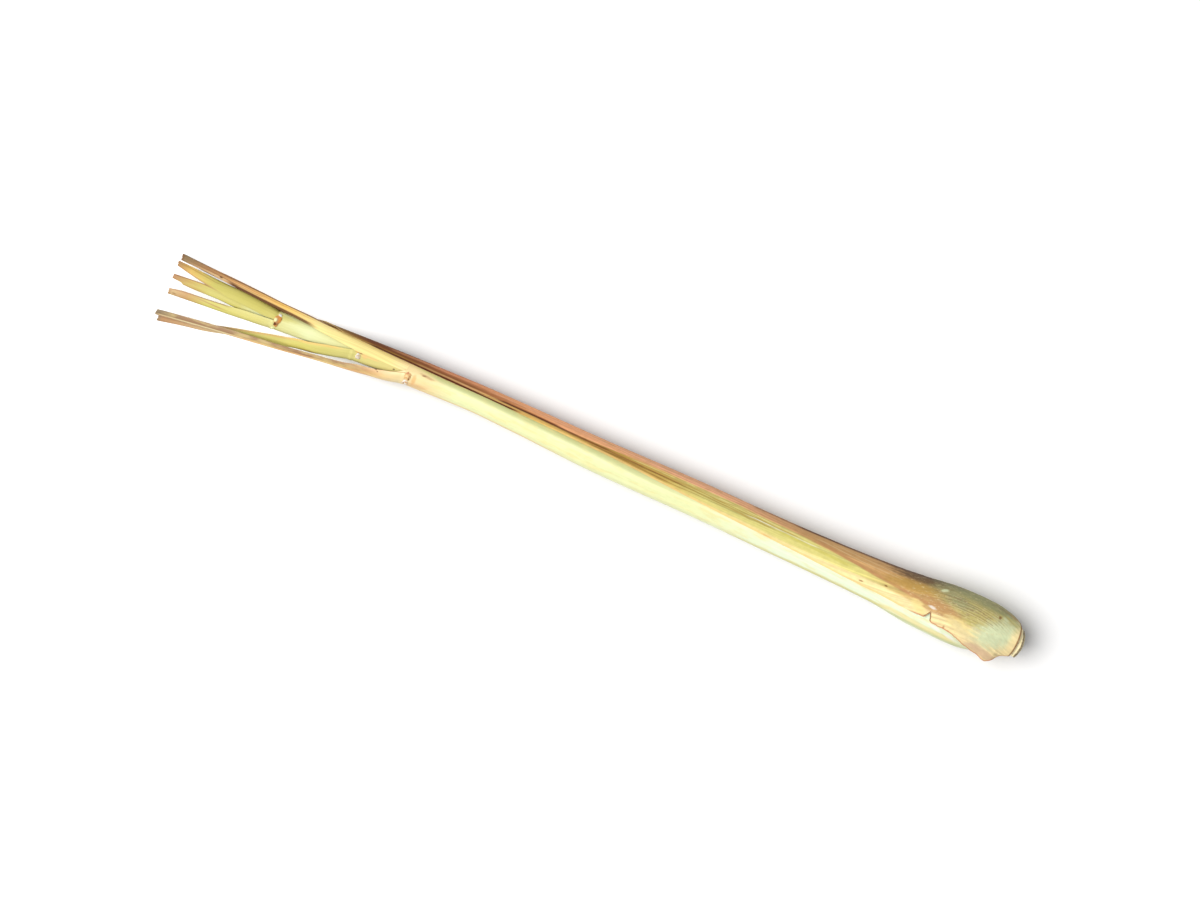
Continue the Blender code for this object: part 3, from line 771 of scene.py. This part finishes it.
# Where the upper band ends, and where the yellow lower part begins.
BAND_EDGE = [(-465, -20), (-300, -27), (-220, -25.8), (-180, -26), (-140, -25), (-100, -22), (-40, -19.5),
             (60, -18), (100, -16.2), (140, -14.6), (220, -9.4), (260, -5), (320, 2), (357, 10), (450, 11)]
MARGIN_EDGE = [(-465, -15), (-200, -22.5), (-80, -18), (0, -12.5), (100, -4.5), (200, 2), (300, 6),
               (357, 11.5), (450, 14)]
OUTER_STROKES = (
    # the dry leaf end
    ([(-330, -29.8), (-260, -29.2), (-200, -28)], 0.9, BARK, 0.45),
    ([(-290, -27), (-240, -26), (-200, -25.6)], 0.5, OLIVE, 0.75),
    ([(-228, -29.4), (-170, -28.6), (-110, -27.6)], 0.9, PINK, 0.45),
    # the golden line between dark ones; the two darkest are painted shade, in the groove and under the
    # margin
    ([(-200, -25.4), (-160, -23.6), (-118, -21.4)], 0.7, PEACH, 0.55),
    ([(-130, -22), (-60, -18.3), (-5, -14.8)], 0.8, GOLD, 0.5),
    ([(-225, -27.4), (-150, -26.8), (-96, -25)], 0.8, UMBER, 0.45),
    ([(-215, -26.6), (-160, -25.6), (-120, -24), (-60, -20.6)], 1.1, UMBER, 0.7),
    # painted shade: a dark line in the groove below the band
    ([(-110, -22.4), (-60, -20.3), (-5, -17.2)], 0.8, BARK, 0.8),
    # painted shadow: a dark line under the margin, where it lifts off the pale leaf
    ([(-250, -25.6), (-180, -22.4), (-104, -18.9)], 0.8, BARK, 0.95),
    ([(-120, -26.6), (-60, -24.6), (20, -22.2), (90, -19.6)], 0.6, SALMON, 0.5),
    # olive lines in the middle, and pale ones above them; the first, dark one is painted shade in the groove
    ([(-30, -18.6), (10, -16.2), (45, -14.1), (76, -12.7)], 0.6, UMBER, 0.7),
    ([(-12, -15.2), (20, -13.4), (62, -10.2)], 0.6, UMBER, 0.55),
    ([(70, -12.6), (110, -10.6), (176, -5.8)], 0.6, OLIVE, 0.6),
    ([(90, -14), (150, -9.8), (204, -7.6)], 0.45, OLIVE, 0.7),
    ([(36, -17.3), (100, -15.3), (160, -11.6), (212, -8.2)], 0.4, STRAW, 0.8),
    ([(158, -13.2), (202, -11.2)], 0.3, PEACH, 0.7),
    ([(164, -8.4), (224, -5)], 0.4, WHITE, 0.55),
    ([(198, -5), (262, -0.6)], 1.5, LIME, 0.8),
    # rust and pale lines before the bulb
    ([(236, -10.4), (270, -5.6), (300, -1.2), (352, 5.4)], 1.6, CLAY, 0.75),
    ([(236, -12.4), (280, -8.6), (322, -7)], 0.4, SAND, 0.6),
    ([(255, -13.6), (318, -10.2)], 0.4, SAND, 0.5),
    ([(268, -7.4), (316, -4.6)], 0.35, PEACH, 0.5),
    # the upper edge: a dark line, the band's own darker colour with painted shade on the side away from the
    # light
    ([(165, -19.2), (200, -17.9), (250, -17.1)], 0.9, UMBER, 0.6),
    ([(215, -17.7), (260, -17), (310, -17), (380, -20.4)], 1.2, BARK, 0.8),
    ([(420, -17.8), (434, -15.6), (447, -11.6)], 1.1, CLAY, 0.8),
)
OUTER_PATCHES = (
    # the bulb: dark above, where the slate patch is painted shade on its upper side, then green, veined,
    # waxy and cream
    (346, -15.5, 34, 5.6, 3, SLATE, 0.85), (402, -17, 42, 6, -3, MOSS, 0.85),
    (400, -5, 38, 8, -7, FERN, 0.75), (376, -8.5, 22, 6, -4, MOSS, 0.85),
    (338, -5.5, 32, 5.5, 3, OLIVE, 0.75), (370, 5, 22, 6.5, -10, CLAY, 0.75),
    (394, 14.5, 18, 5, -10, STRAW, 0.7), (430, 9, 24, 13.5, 28, SAGE, 0.95),
    (402, 21, 22, 4, -24, LINEN, 0.6), (452, 10, 8, 16, 0, BISQUE, 0.8),
    (422, 31, 18, 4.2, -12, BLUSH, 0.85), (347, 12, 11, 4.5, -28, STRAW, 0.7),
    # marks
    (284.5, 9.5, 2.4, 0.8, 0, UMBER, 0.7), (309.4, 4.8, 1.7, 0.8, -4, UMBER, 0.8),
    (180, 3.2, 4.5, 0.7, -4, CLAY, 0.8), (427, -8.2, 1.5, 1.6, 0, UMBER, 0.8),
    (360, 7.4, 4.2, 1.3, -6, WHITE, 0.6), (366, -12.8, 3.4, 1.4, 25, SAGE, 0.8),
    (433, -8.8, 3.4, 1.2, -15, SAGE, 0.6), (356.3, 17.3, 4.6, 0.8, 47, UMBER, 0.8),
    (361.8, 17.3, 4.6, 0.8, -72, UMBER, 0.8),
    (377.5, 22, 1.1, 2, 0, CLAY, 0.8), (383, 24, 1.2, 1.2, 0, ROSE, 0.7),
    (434.5, 36.2, 2.6, 1.3, 20, UMBER, 0.7), (440, 32, 1.2, 2.4, 0, CLAY, 0.8),
)
VEINED = (396, -4, 38, 9, -6)
NOTCH = (359.5, 17.5, 3.2, 4.6, 0)

PALE_SHEATH = ((-212, BISQUE), (-188, BISQUE), (-160, CREAM), (100, CREAM), (200, MILK), (360, MILK),
               (440, GREEN))
PALE_BLADE = ((-470, SAND), (-440, LINEN), (-400, LINEN), (-370, PEACH), (-250, PEACH), (-220, BISQUE))
UPPER_STRIPE = ((-470, KHAKI), (-440, CLAY), (-290, CLAY), (-235, PEACH))
LOWER_STRIPE = ((-470, CLAY), (-420, CLAY), (-380, PEACH))
# Where the painted shade below the outer leaf's margin ends on the pale leaf.
OUTER_SHADE_EDGE = ((-215, -24), (-180, -17.5), (-150, -16), (-100, -12.8), (-20, -8.8), (60, -2.5), (160, 4))
PALE_STROKES = (
    ([(150, 17), (240, 21), (310, 26)], 2, PEAR, 0.9),
    ([(280, 24.5), (320, 28.5), (395, 34)], 1.3, GREEN, 0.85),
    ([(320, 24.5), (362, 29.5), (385, 31)], 2, STRAW, 0.7),
    # the blade's upper margin: its own dark edge, with painted shadow along it
    ([(-255, -3.4), (-230, -8.2), (-216, -12.4)], 0.35, OLIVE, 0.9),
)
PALE_PATCHES = (
    (-193, -16.6, 7, 1.3, -6, CLAY, 0.6), (-196, -16.4, 2.2, 0.8, 10, UMBER, 0.6),
    (-200, -4, 12, 2, 6, PEACH, 0.6), (-204.5, -9, 2, 5, 0, ORANGE, 0.45),
    (371, 25.6, 7, 1.5, -12, WHITE, 0.8), (387, 28.6, 7, 1.3, -10, WHITE, 0.7),
    (-243.5, -4.6, 1.2, 0.8, 0, UMBER, 0.9), (-241.4, -3.2, 0.8, 0.7, 0, UMBER, 0.8),
)
TOP_COLOURS = ((-466, KHAKI), (-436, CLAY), (-400, PEACH), (-350, GOLD), (-315, STRAW), (-235, STRAW),
               (-216, BISQUE))
TOP_STROKES = (
    ([(-462, -34.3), (-435, -32.6), (-420, -31.4)], 0.9, SAND, 0.85),
    ([(-455, -35.4), (-424, -33), (-385, -29.6)], 0.35, UMBER, 0.7),
    # the golden lower margin, lightened by a painted highlight along it
    ([(-400, -30.2), (-350, -26), (-325, -23.6)], 0.7, APRICOT, 0.8),
    ([(-410, -33.4), (-365, -29.8), (-325, -27.2)], 0.35, ORANGE, 0.5),
    ([(-360, -31.6), (-296, -27.4)], 0.5, ORANGE, 0.75),
    ([(-466, -38.9), (-400, -34.7), (-350, -31.3), (-305, -28.2)], 0.9, UMBER, 0.8),
)
TOP_SPOT = (-422, -32.2, 1.6, 0.8, -8, BARK, 0.85)
LOWER_COLOURS = ((-466, CLAY), (-410, SAND), (-380, LIME), (-320, LIME), (-270, PEAR), (-200, STRAW))
LOWER_MARGIN = ((-420, CLAY), (-300, GOLD))
# Painted shadow: a dark line where the pale leaf's blade lies over the lower one.
LOWER_SHADOW_STROKE = ([(-390, 12), (-350, 7.4), (-310, 3.4)], 0.7, OLIVE, 0.8)
LOWER_PATCHES = (
    # the first patch is painted shadow above the ligule
    (-265, -14.2, 5, 0.9, -8, UMBER, 0.6), (-259, -12.4, 3, 2.2, -20, APRICOT, 0.85),
    (-252, -13, 8, 1, 0, APRICOT, 0.7), (-227, -11.4, 1.2, 0.8, 15, BARK, 0.8),
)
# The fresh leaves of the middle: (colours, strokes, patches).
FRESH = {
    "middle_leaf": (
        ((-466, SAND), (-448, TAN), (-425, LIME), (-370, PEAR), (-320, CREAM), (-250, PEAR)),
        (([(-466, -2.6), (-450, -5), (-412, -7.6)], 0.7, UMBER, 0.75),
         ([(-431, -3.6), (-416, -3.2)], 0.6, CLAY, 0.8)),
        # the second patch, darker lime, is painted shade below the top leaf's margin
        ((-460, 0.6, 2.2, 0.8, 0, UMBER, 0.75), (-350, -18, 14, 3, 0, LIME, 0.6)),
    ),
    "inner_leaf": (
        ((-466, CLAY), (-452, GOLD), (-425, LIME), (-340, LIME)),
        (([(-455, -29.6), (-425, -25.4)], 0.5, OLIVE, 0.5),), (),
    ),
    "heart_leaf": (
        # the cream from -375 on is painted light, lighter than the leaf, against the shade of the seam below
        # the middle leaf
        ((-466, CLAY), (-450, HONEY), (-425, LIME), (-395, LIME), (-375, CREAM)),
        (([(-466, -17.6), (-436, -19.9), (-418, -18.2)], 0.7, UMBER, 0.7),
         ([(-456, -11.2), (-438, -11.4)], 0.5, CLAY, 0.6)), (),
    ),
}


def outer_look(leaf):
    look = LeafLook(leaf, 0.62, 0.12)
    x, y, rim = look.x, look.y, look.rim
    jitter = (look.fibres(0.9, 50) - 0.5) * 1.2
    in_band = y - look.line(BAND_EDGE)
    look.colour = look.lengthwise(OUTER_MIDDLE)
    look.lay(look.lengthwise(OUTER_MARGIN), 1.0, (look.line(MARGIN_EDGE) - y + jitter, -0.6, 0.6))
    look.lay(look.lengthwise(OUTER_BAND), 1.0, (in_band + jitter, -0.35, 0.35))
    look.streak(0.22, 0.42, 45)
    look.paint(OUTER_STROKES, OUTER_PATCHES)
    # Fine dark veins run through the olive part of the bulb, and fainter ones through the strip before it.
    veins = look.ribs(1.05)
    veined = look.patch(*VEINED) * look.step(look.blotches(0.7, 1.2), 0.32, 0.56)
    look.lay(KHAKI, veined * 0.75, (veins, 0.0, 0.9))
    look.lay(LINEN, veined * 0.3, (veins, -0.1, -0.9))
    look.lay(OLIVE, 0.45, (veins, 0.0, 0.9), (x, -20, 10), (x, 90, 60), (y, 0.8, 2.4))
    # The margin's last bit is warmer.
    look.lay(APRICOT, 0.6, (rim, 1.0, 0.4), (x, -30, 0), (x, 134, 128))
    # The torn edge, the notch and the leaf's end have dried brown.
    look.lay(ROSE, look.front * 0.85, (rim, 0.75, 0.2), (x, 132, 139))
    look.lay(UMBER, look.patch(*NOTCH) * 0.8, (rim, 1.0, 0.5))
    look.lay(UMBER, 0.85, (look.base_way, 0.62, 0.3))
    # Mottling everywhere, and papery white flecks on the bulb.
    look.shade(1.0 + (look.blotches(1.1, 1.8) - 0.5) * 0.34)
    look.lay(LINEN, 0.42, (look.blotches(0.5, 3.0, 5.0), 0.56, 0.7), (x, 118, 138))
    # Painted light: the band is made lighter where it lies on the stalk's shaded upper side.
    look.shade(1.0 + look.step(in_band, -0.3, 0.3) * look.step(x, -90, -40) * 0.1)
    look.lay(SAND, 1.0 - look.skin)
    return look.finish(look.fibres(0.35, 25) + look.blotches(1.5) * 0.5, 0.09)


def pale_look(leaf):
    look = LeafLook(leaf, 0.42, 0.35)
    x, across = look.x, abs(look.share)
    look.colour = look.lengthwise(PALE_BLADE)
    look.lay(look.lengthwise(PALE_SHEATH), 1.0, (x, -86, -80))
    # The blade's darker upper and lower stripes.
    blade = (x, -88, -100)
    upper = look.scale(look.lengthwise(UPPER_STRIPE), 0.7 + look.step(x, -108, -92) * 0.2)
    look.lay(upper, 0.95, (across, 0.38, 0.52), blade)
    lower = look.scale(look.lengthwise(LOWER_STRIPE), 0.76 + look.step(x, -160, -150) * 0.2)
    look.lay(lower, 0.9, (across, 0.3, 0.18), blade)
    look.lay(CLAY, 0.5, (across, 0.16, 0.04), blade)
    # The sheath: painted shade in green below the outer leaf's margin, orange along its lower edge, yellow
    # below the bulb.
    sheath = (x, -84, -72)
    look.lay(GREEN, 0.9, (look.y - look.line(OUTER_SHADE_EDGE), -1.1, 0.7), (x, 56, 10), sheath)
    look.lay(APRICOT, 0.85, (across, 0.2, 0.08), (x, 0, -30), sheath)
    look.lay(STRAW, 0.45, (look.blotches(1.6, 5.0), 0.45, 0.7))
    look.paint(PALE_STROKES, PALE_PATCHES)
    look.lay(KHAKI, 0.7, (look.end, 1.6, 0.3))
    look.streak(0.05, 0.6, 60)
    look.shade(1.0 + (look.blotches(0.9, 2.5) - 0.5) * 0.16)
    return look.finish(look.fibres(0.5, 40), 0.04)


def top_look(leaf):
    look = LeafLook(leaf, 0.58, 0.16)
    look.colour = look.lengthwise(TOP_COLOURS)
    look.streak(0.2, 0.42, 40)
    # Painted light: the part towards the mouth is made lighter, on the side that faces away from the light.
    look.shade(1.0 + look.step(look.x, -152, -128) * 0.22)
    look.paint(TOP_STROKES, (TOP_SPOT,))
    # Painted shadow: a dark line along the lower margin, where the leaf shades the leaves below.
    look.lay(BARK, 0.9, (look.rim, 1.15, 0.7), (look.x, -161, -157), (look.x, -119, -126))
    look.lay(UMBER, 0.6, (look.end, 1.4, 0.2))
    return look.finish(look.fibres(0.35, 25), 0.08)


def lower_look(leaf):
    look = LeafLook(leaf, 0.5, 0.3)
    look.colour = look.lengthwise(LOWER_COLOURS)
    look.lay(look.lengthwise(LOWER_MARGIN), 0.7, (look.rim, 1.1, 0.5), (look.x, -106, -112))
    look.paint((LOWER_SHADOW_STROKE,), LOWER_PATCHES)
    look.lay(KHAKI, 0.7, (look.end, 2.0, 0.3))
    look.streak(0.08, 0.5, 40)
    return look.finish(look.fibres(0.4, 30), 0.06)


def fresh_look(leaf):
    """The fresh leaves, with brown cut tips."""
    colours, strokes, patches = FRESH[leaf.name]
    look = LeafLook(leaf, 0.48, 0.3)
    look.colour = look.lengthwise(colours)
    look.lay(PEAR, 0.35, (look.blotches(3.0, 4.0), 0.45, 0.7))
    look.lay(CLAY, 0.6, (look.rim, 0.6, 0.25), (look.x, -158, -166))
    look.streak(0.08, 0.5, 40)
    look.paint(strokes, patches)
    look.lay(CLAY, 0.7, (look.end + look.fibres(0.5, 6) * 2.0, 2.6, 1.0))
    return look.finish(look.fibres(0.4, 30), 0.06)


def stem_look():
    look = Look("stem_base", 0.62, 0.25)
    x, y, z = look.x, look.y, look.z
    around = look.math("ARCTAN2", z - along(AXIS_Z, CUT_X), y - along(AXIS_Y, CUT_X))
    depth = look.read("depth")
    # The cut face has broken rings and pale pores.
    dirt = look.noise(y * 0.9, z * 0.9, 4.0, 3.0)
    rings = look.math("SINE", (depth + dirt * 1.6) * 4.4)
    pores = look.noise(y * 3.2, z * 3.2, 9.0)
    look.colour = look.mix(look.noise(y * 1.6, z * 1.6, x, 3.0), FERN, LINEN)
    look.lay(KHAKI, 0.5, (rings, 0.1, 0.9), (pores, 0.7, 0.4))
    look.lay(CREAM, 0.6, (pores, 0.54, 0.68))
    face = look.colour
    look.colour = look.mix(look.noise(around * 9, x * 0.3, 2.0), IVORY, BUTTER)
    # Painted light: the wall is made lighter, as its end faces away from the light.
    look.shade(1.2)
    look.lay(face, look.read("cut"))
    look.lay(SLATE, 0.85, (depth + dirt * 0.8, 0.95, 0.6))
    return look.finish(look.noise(y * 4, z * 4, x * 4), 0.12)


def fine_stem():
    """The stem with its fibrous cut."""
    profile = []
    start = HEART.base + CLEARANCE[-1][1]
    for leaf in sorted(LEAVES, key=lambda leaf: leaf.layer)[1:]:
        for x in (start, leaf.base):
            profile.append((x, sheath_radius(leaf, x) - sheath_wall(leaf, x) - along(CLEARANCE, x)))
        start = leaf.base + CLEARANCE[-1][1]
    profile += [(start, CUT_RADIUS + LAST_SHOULDER), (CUT_X - 1.4, CUT_RADIUS + 0.05)]
    rings = [(x, radius, False) for x, radius in (*profile, (CUT_X - 0.5, CUT_RADIUS))]
    rings += [(CUT_X, CUT_RADIUS * share, True) for share in CUT_RINGS]
    slant = tan(radians(CUT_SLANT))
    points, cut, depth = [], [], []
    for x, radius, on_cut in rings:
        for k in range(STEM_SIDES):
            aside, upward = cos(tau * k / STEM_SIDES), sin(tau * k / STEM_SIDES)
            place, r = x, radius
            if on_cut or x > CUT_X - 2:
                r *= 1 + 0.03 * rough(aside * 2.2, upward * 2.2, x)
                place -= r * upward * slant + CUT_BULGE * (r * aside / CUT_RADIUS) ** 2
            if on_cut:
                place += 0.16 * rough(r * aside * 1.3, r * upward * 1.3, 4.0)
                place += 0.08 * rough(r * aside * 3.7, r * upward * 3.7, 5.0)
            points.append((place, along(AXIS_Y, x) + r * aside, along(AXIS_Z, x) + r * upward))
            cut.append(float(on_cut))
            depth.append(CUT_RADIUS - radius if on_cut else max(0.0, CUT_X - 0.2 - x))
    faces = hoops(len(rings), STEM_SIDES)
    faces.append(tuple(reversed(range(STEM_SIDES))))
    faces.append(tuple(range(len(points) - STEM_SIDES, len(points))))
    return solid("stem_base_fine", points, faces, STEM_SHARP, (("cut", cut), ("depth", depth)))


def scrap(name, leaf, seed, x, turn, half_x, half_turn, height, lean, taper):
    """A torn scrap of the papery collar: a thin ragged scale on the leaf's face, turn degrees round from its
    midrib, that leans away from it."""
    points = []
    angles = [tau * k / SIDES for k in range(SIDES)]

    def add(radius, angle, up):
        ahead, aside = cos(angle), sin(angle)
        torn_edge = 0.30 * rough(ahead * 1.6, aside * 1.6, seed) + 0.16 * rough(ahead * 5, aside * 5, seed)
        reach = radius * (1 + torn_edge)
        at = x + half_x * (1 + taper * aside) * reach * ahead
        section = Section(leaf, at)
        wrap = degrees(wraps(leaf, at)[0])
        (y, z), normal = section.point(min((turn + half_turn * reach * aside) / wrap, 0.99))
        top = section.wall / 2 + up
        points.append((at - lean * max(up, 0.0), y + normal[0] * top, z + normal[1] * top))

    for ring in range(SCRAP_RINGS):
        radius = 1 - ring / SCRAP_RINGS
        for angle in angles:
            crumple = 0.5 * rough(3 * radius * cos(angle), 3 * radius * sin(angle), seed + 9)
            add(radius, angle, height * (0.25 + (1 - radius**2) * 0.6 + crumple))
    top = len(points)
    add(0.0, 0.0, height * 0.8)
    low = len(points)
    for angle in angles:
        add(1.0, angle, -SCRAP_ROOT)
    add(0.0, 0.0, -SCRAP_ROOT)
    faces = hoops(SCRAP_RINGS, SIDES)
    for k in range(SIDES):
        n = (k + 1) % SIDES
        faces.append((top - SIDES + k, top - SIDES + n, top))
        faces.append((low + k, low + n, n, k))
        faces.append((low + n, low + k, low + SIDES))
    return solid(name, points, faces, SCRAP_SHARP, ())


def scrap_look(name, seed, low, high, spots):
    look = Look(name, 0.65, 0.2)
    x, y, z = look.x, look.y, look.z
    patches = look.noise(x * 0.9, y * 0.9, z + seed, 3.0)
    look.colour = look.mix(look.step(patches, 0.36, 0.64), low, high)
    for at_x, at_y, half_x, half_y, tone in spots:
        look.lay(tone, 0.9, (look.away(at_x, at_y, half_x, half_y, 0), 1.3, 0.6))
    return look.finish(look.noise(x * 3, y * 3, z * 3), 0.1)


def dress(piece, material, slot, *nodes):
    piece.data.materials.append(material)
    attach(piece, "root")
    if nodes:
        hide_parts(*nodes)


def stage():
    """The pale floor, which glows towards the leaf end as painted light, the light from the lower left, and
    the camera that looks straight down.
    """
    bpy.ops.mesh.primitive_plane_add(size=FLOOR_SIZE, location=(0, 0, -FLOOR_GAP * MM))
    floor = bpy.context.object
    floor.name = "floor"
    paper = Look("floor_paper", 0.9, 0.1)
    grain = paper.noise(paper.x * 0.5, paper.y * 0.5, 0.0, 4.0)
    paper.colour = paper.mix(grain, PAPER, PAPER_SHADE)
    # Painted light: the floor glows towards the leaf end, where it washes out the blades' shadows.
    paper.shader.inputs["Emission Color"].default_value = (1.0, 1.0, 1.0, 1.0)
    paper.put(paper.shader.inputs["Emission Strength"], paper.step(paper.x, *GLOW_EDGE) * FLOOR_GLOW)
    floor.data.materials.append(paper.finish(grain, 0.002, FLOOR_REFLECTED))

    scene = bpy.context.scene
    world = bpy.data.worlds.new("studio")
    world.use_nodes = True
    background = world.node_tree.nodes["Background"]
    background.inputs["Color"].default_value = SKY_COLOUR
    background.inputs["Strength"].default_value = SKY
    scene.world = world

    key = added("key", bpy.data.lights.new("key", "SUN"))
    key.data.angle = radians(SUN_SIZE)
    key.data.energy = SUN_ENERGY
    key.data.color = SUN_COLOUR
    key.rotation_euler = Vector(SUN_WAY).to_track_quat("-Z", "Y").to_euler()

    camera = added("camera", bpy.data.cameras.new("camera"))
    camera.location = [v * MM for v in CAMERA_PLACE]
    camera.rotation_euler = (0, 0, radians(CAMERA_TURN))
    camera.data.sensor_width = SENSOR
    camera.data.lens = SENSOR * (CAMERA_PLACE[2] - SUBJECT_HEIGHT) / (PICTURE_WIDTH * PIXEL)
    camera.data.clip_end = 20
    scene.camera = camera
    scene.view_settings.view_transform = "Standard"


# The scraps: (name, leaf, seed, (X, turn, half size along X, half turn, height, lean, taper), two colours,
# spots), where a spot is (x, y, half sizes, colour) by its place in the photograph.
SCRAPS = (
    ("middle_ligule", MIDDLE, 3, (-136, 84, 1.5, 34, 0.7, 0.4, 0.35), CLAY, ORANGE,
     # its cream spot is a painted highlight in the middle of the pouch
     ((-355.2, -13.2, 1.8, 2.2, CREAM), (-355.6, -9, 3.2, 1.5, BARK),
      (-358.2, -14.6, 1.1, 2.6, UMBER), (-350.6, -14, 1.3, 3.2, ORANGE))),
    ("middle_ligule_tip", MIDDLE, 5, (-135.6, 118, 0.7, 9, 0.55, 0.4, 0), WHITE, WHITE, ()),
    ("middle_ligule_rim", MIDDLE, 6, (-136.7, 28, 1, 11, 0.5, 0.5, 0), PEAR, CREAM, ()),
    ("lower_ligule", LOWER, 8, (-101.6, 62, 1.1, 17, 0.5, 0.5, -0.2), SAND, WHITE, ()),
    ("lower_ligule_fold", LOWER, 11, (-101.8, 88, 1.7, 8, 0.3, 0.5, 0), CLAY, GOLD, ()),
    ("pale_ligule", PALE, 14, (-80.6, 70, 1.3, 21, 0.45, 0.5, 0), PEACH, BISQUE,
     ((-213, -13.4, 2, 1.3, ROSE), (-209.4, -9, 0.9, 2.6, CLAY), (-209.6, -7.6, 0.8, 0.9, UMBER))),
    ("pale_ligule_white", PALE, 17, (-80.8, 34, 1.2, 17, 0.5, 0.6, 0), PEACH, WHITE,
     ((-213, -2.5, 1, 0.9, CLAY),)),
)
LOOKS = {"outer_leaf": outer_look, "pale_leaf": pale_look, "top_leaf": top_look, "lower_leaf": lower_look}

stage()
for leaf in LEAVES:
    dress(fine_leaf(leaf), LOOKS.get(leaf.name, fresh_look)(leaf), leaf.name, leaf.name)
dress(fine_stem(), stem_look(), "stem_base", "stem_base")
for name, leaf, seed, form, low, high, spots in SCRAPS:
    dress(scrap(name, leaf, seed, *form), scrap_look(name, seed, low, high, spots), leaf.name)
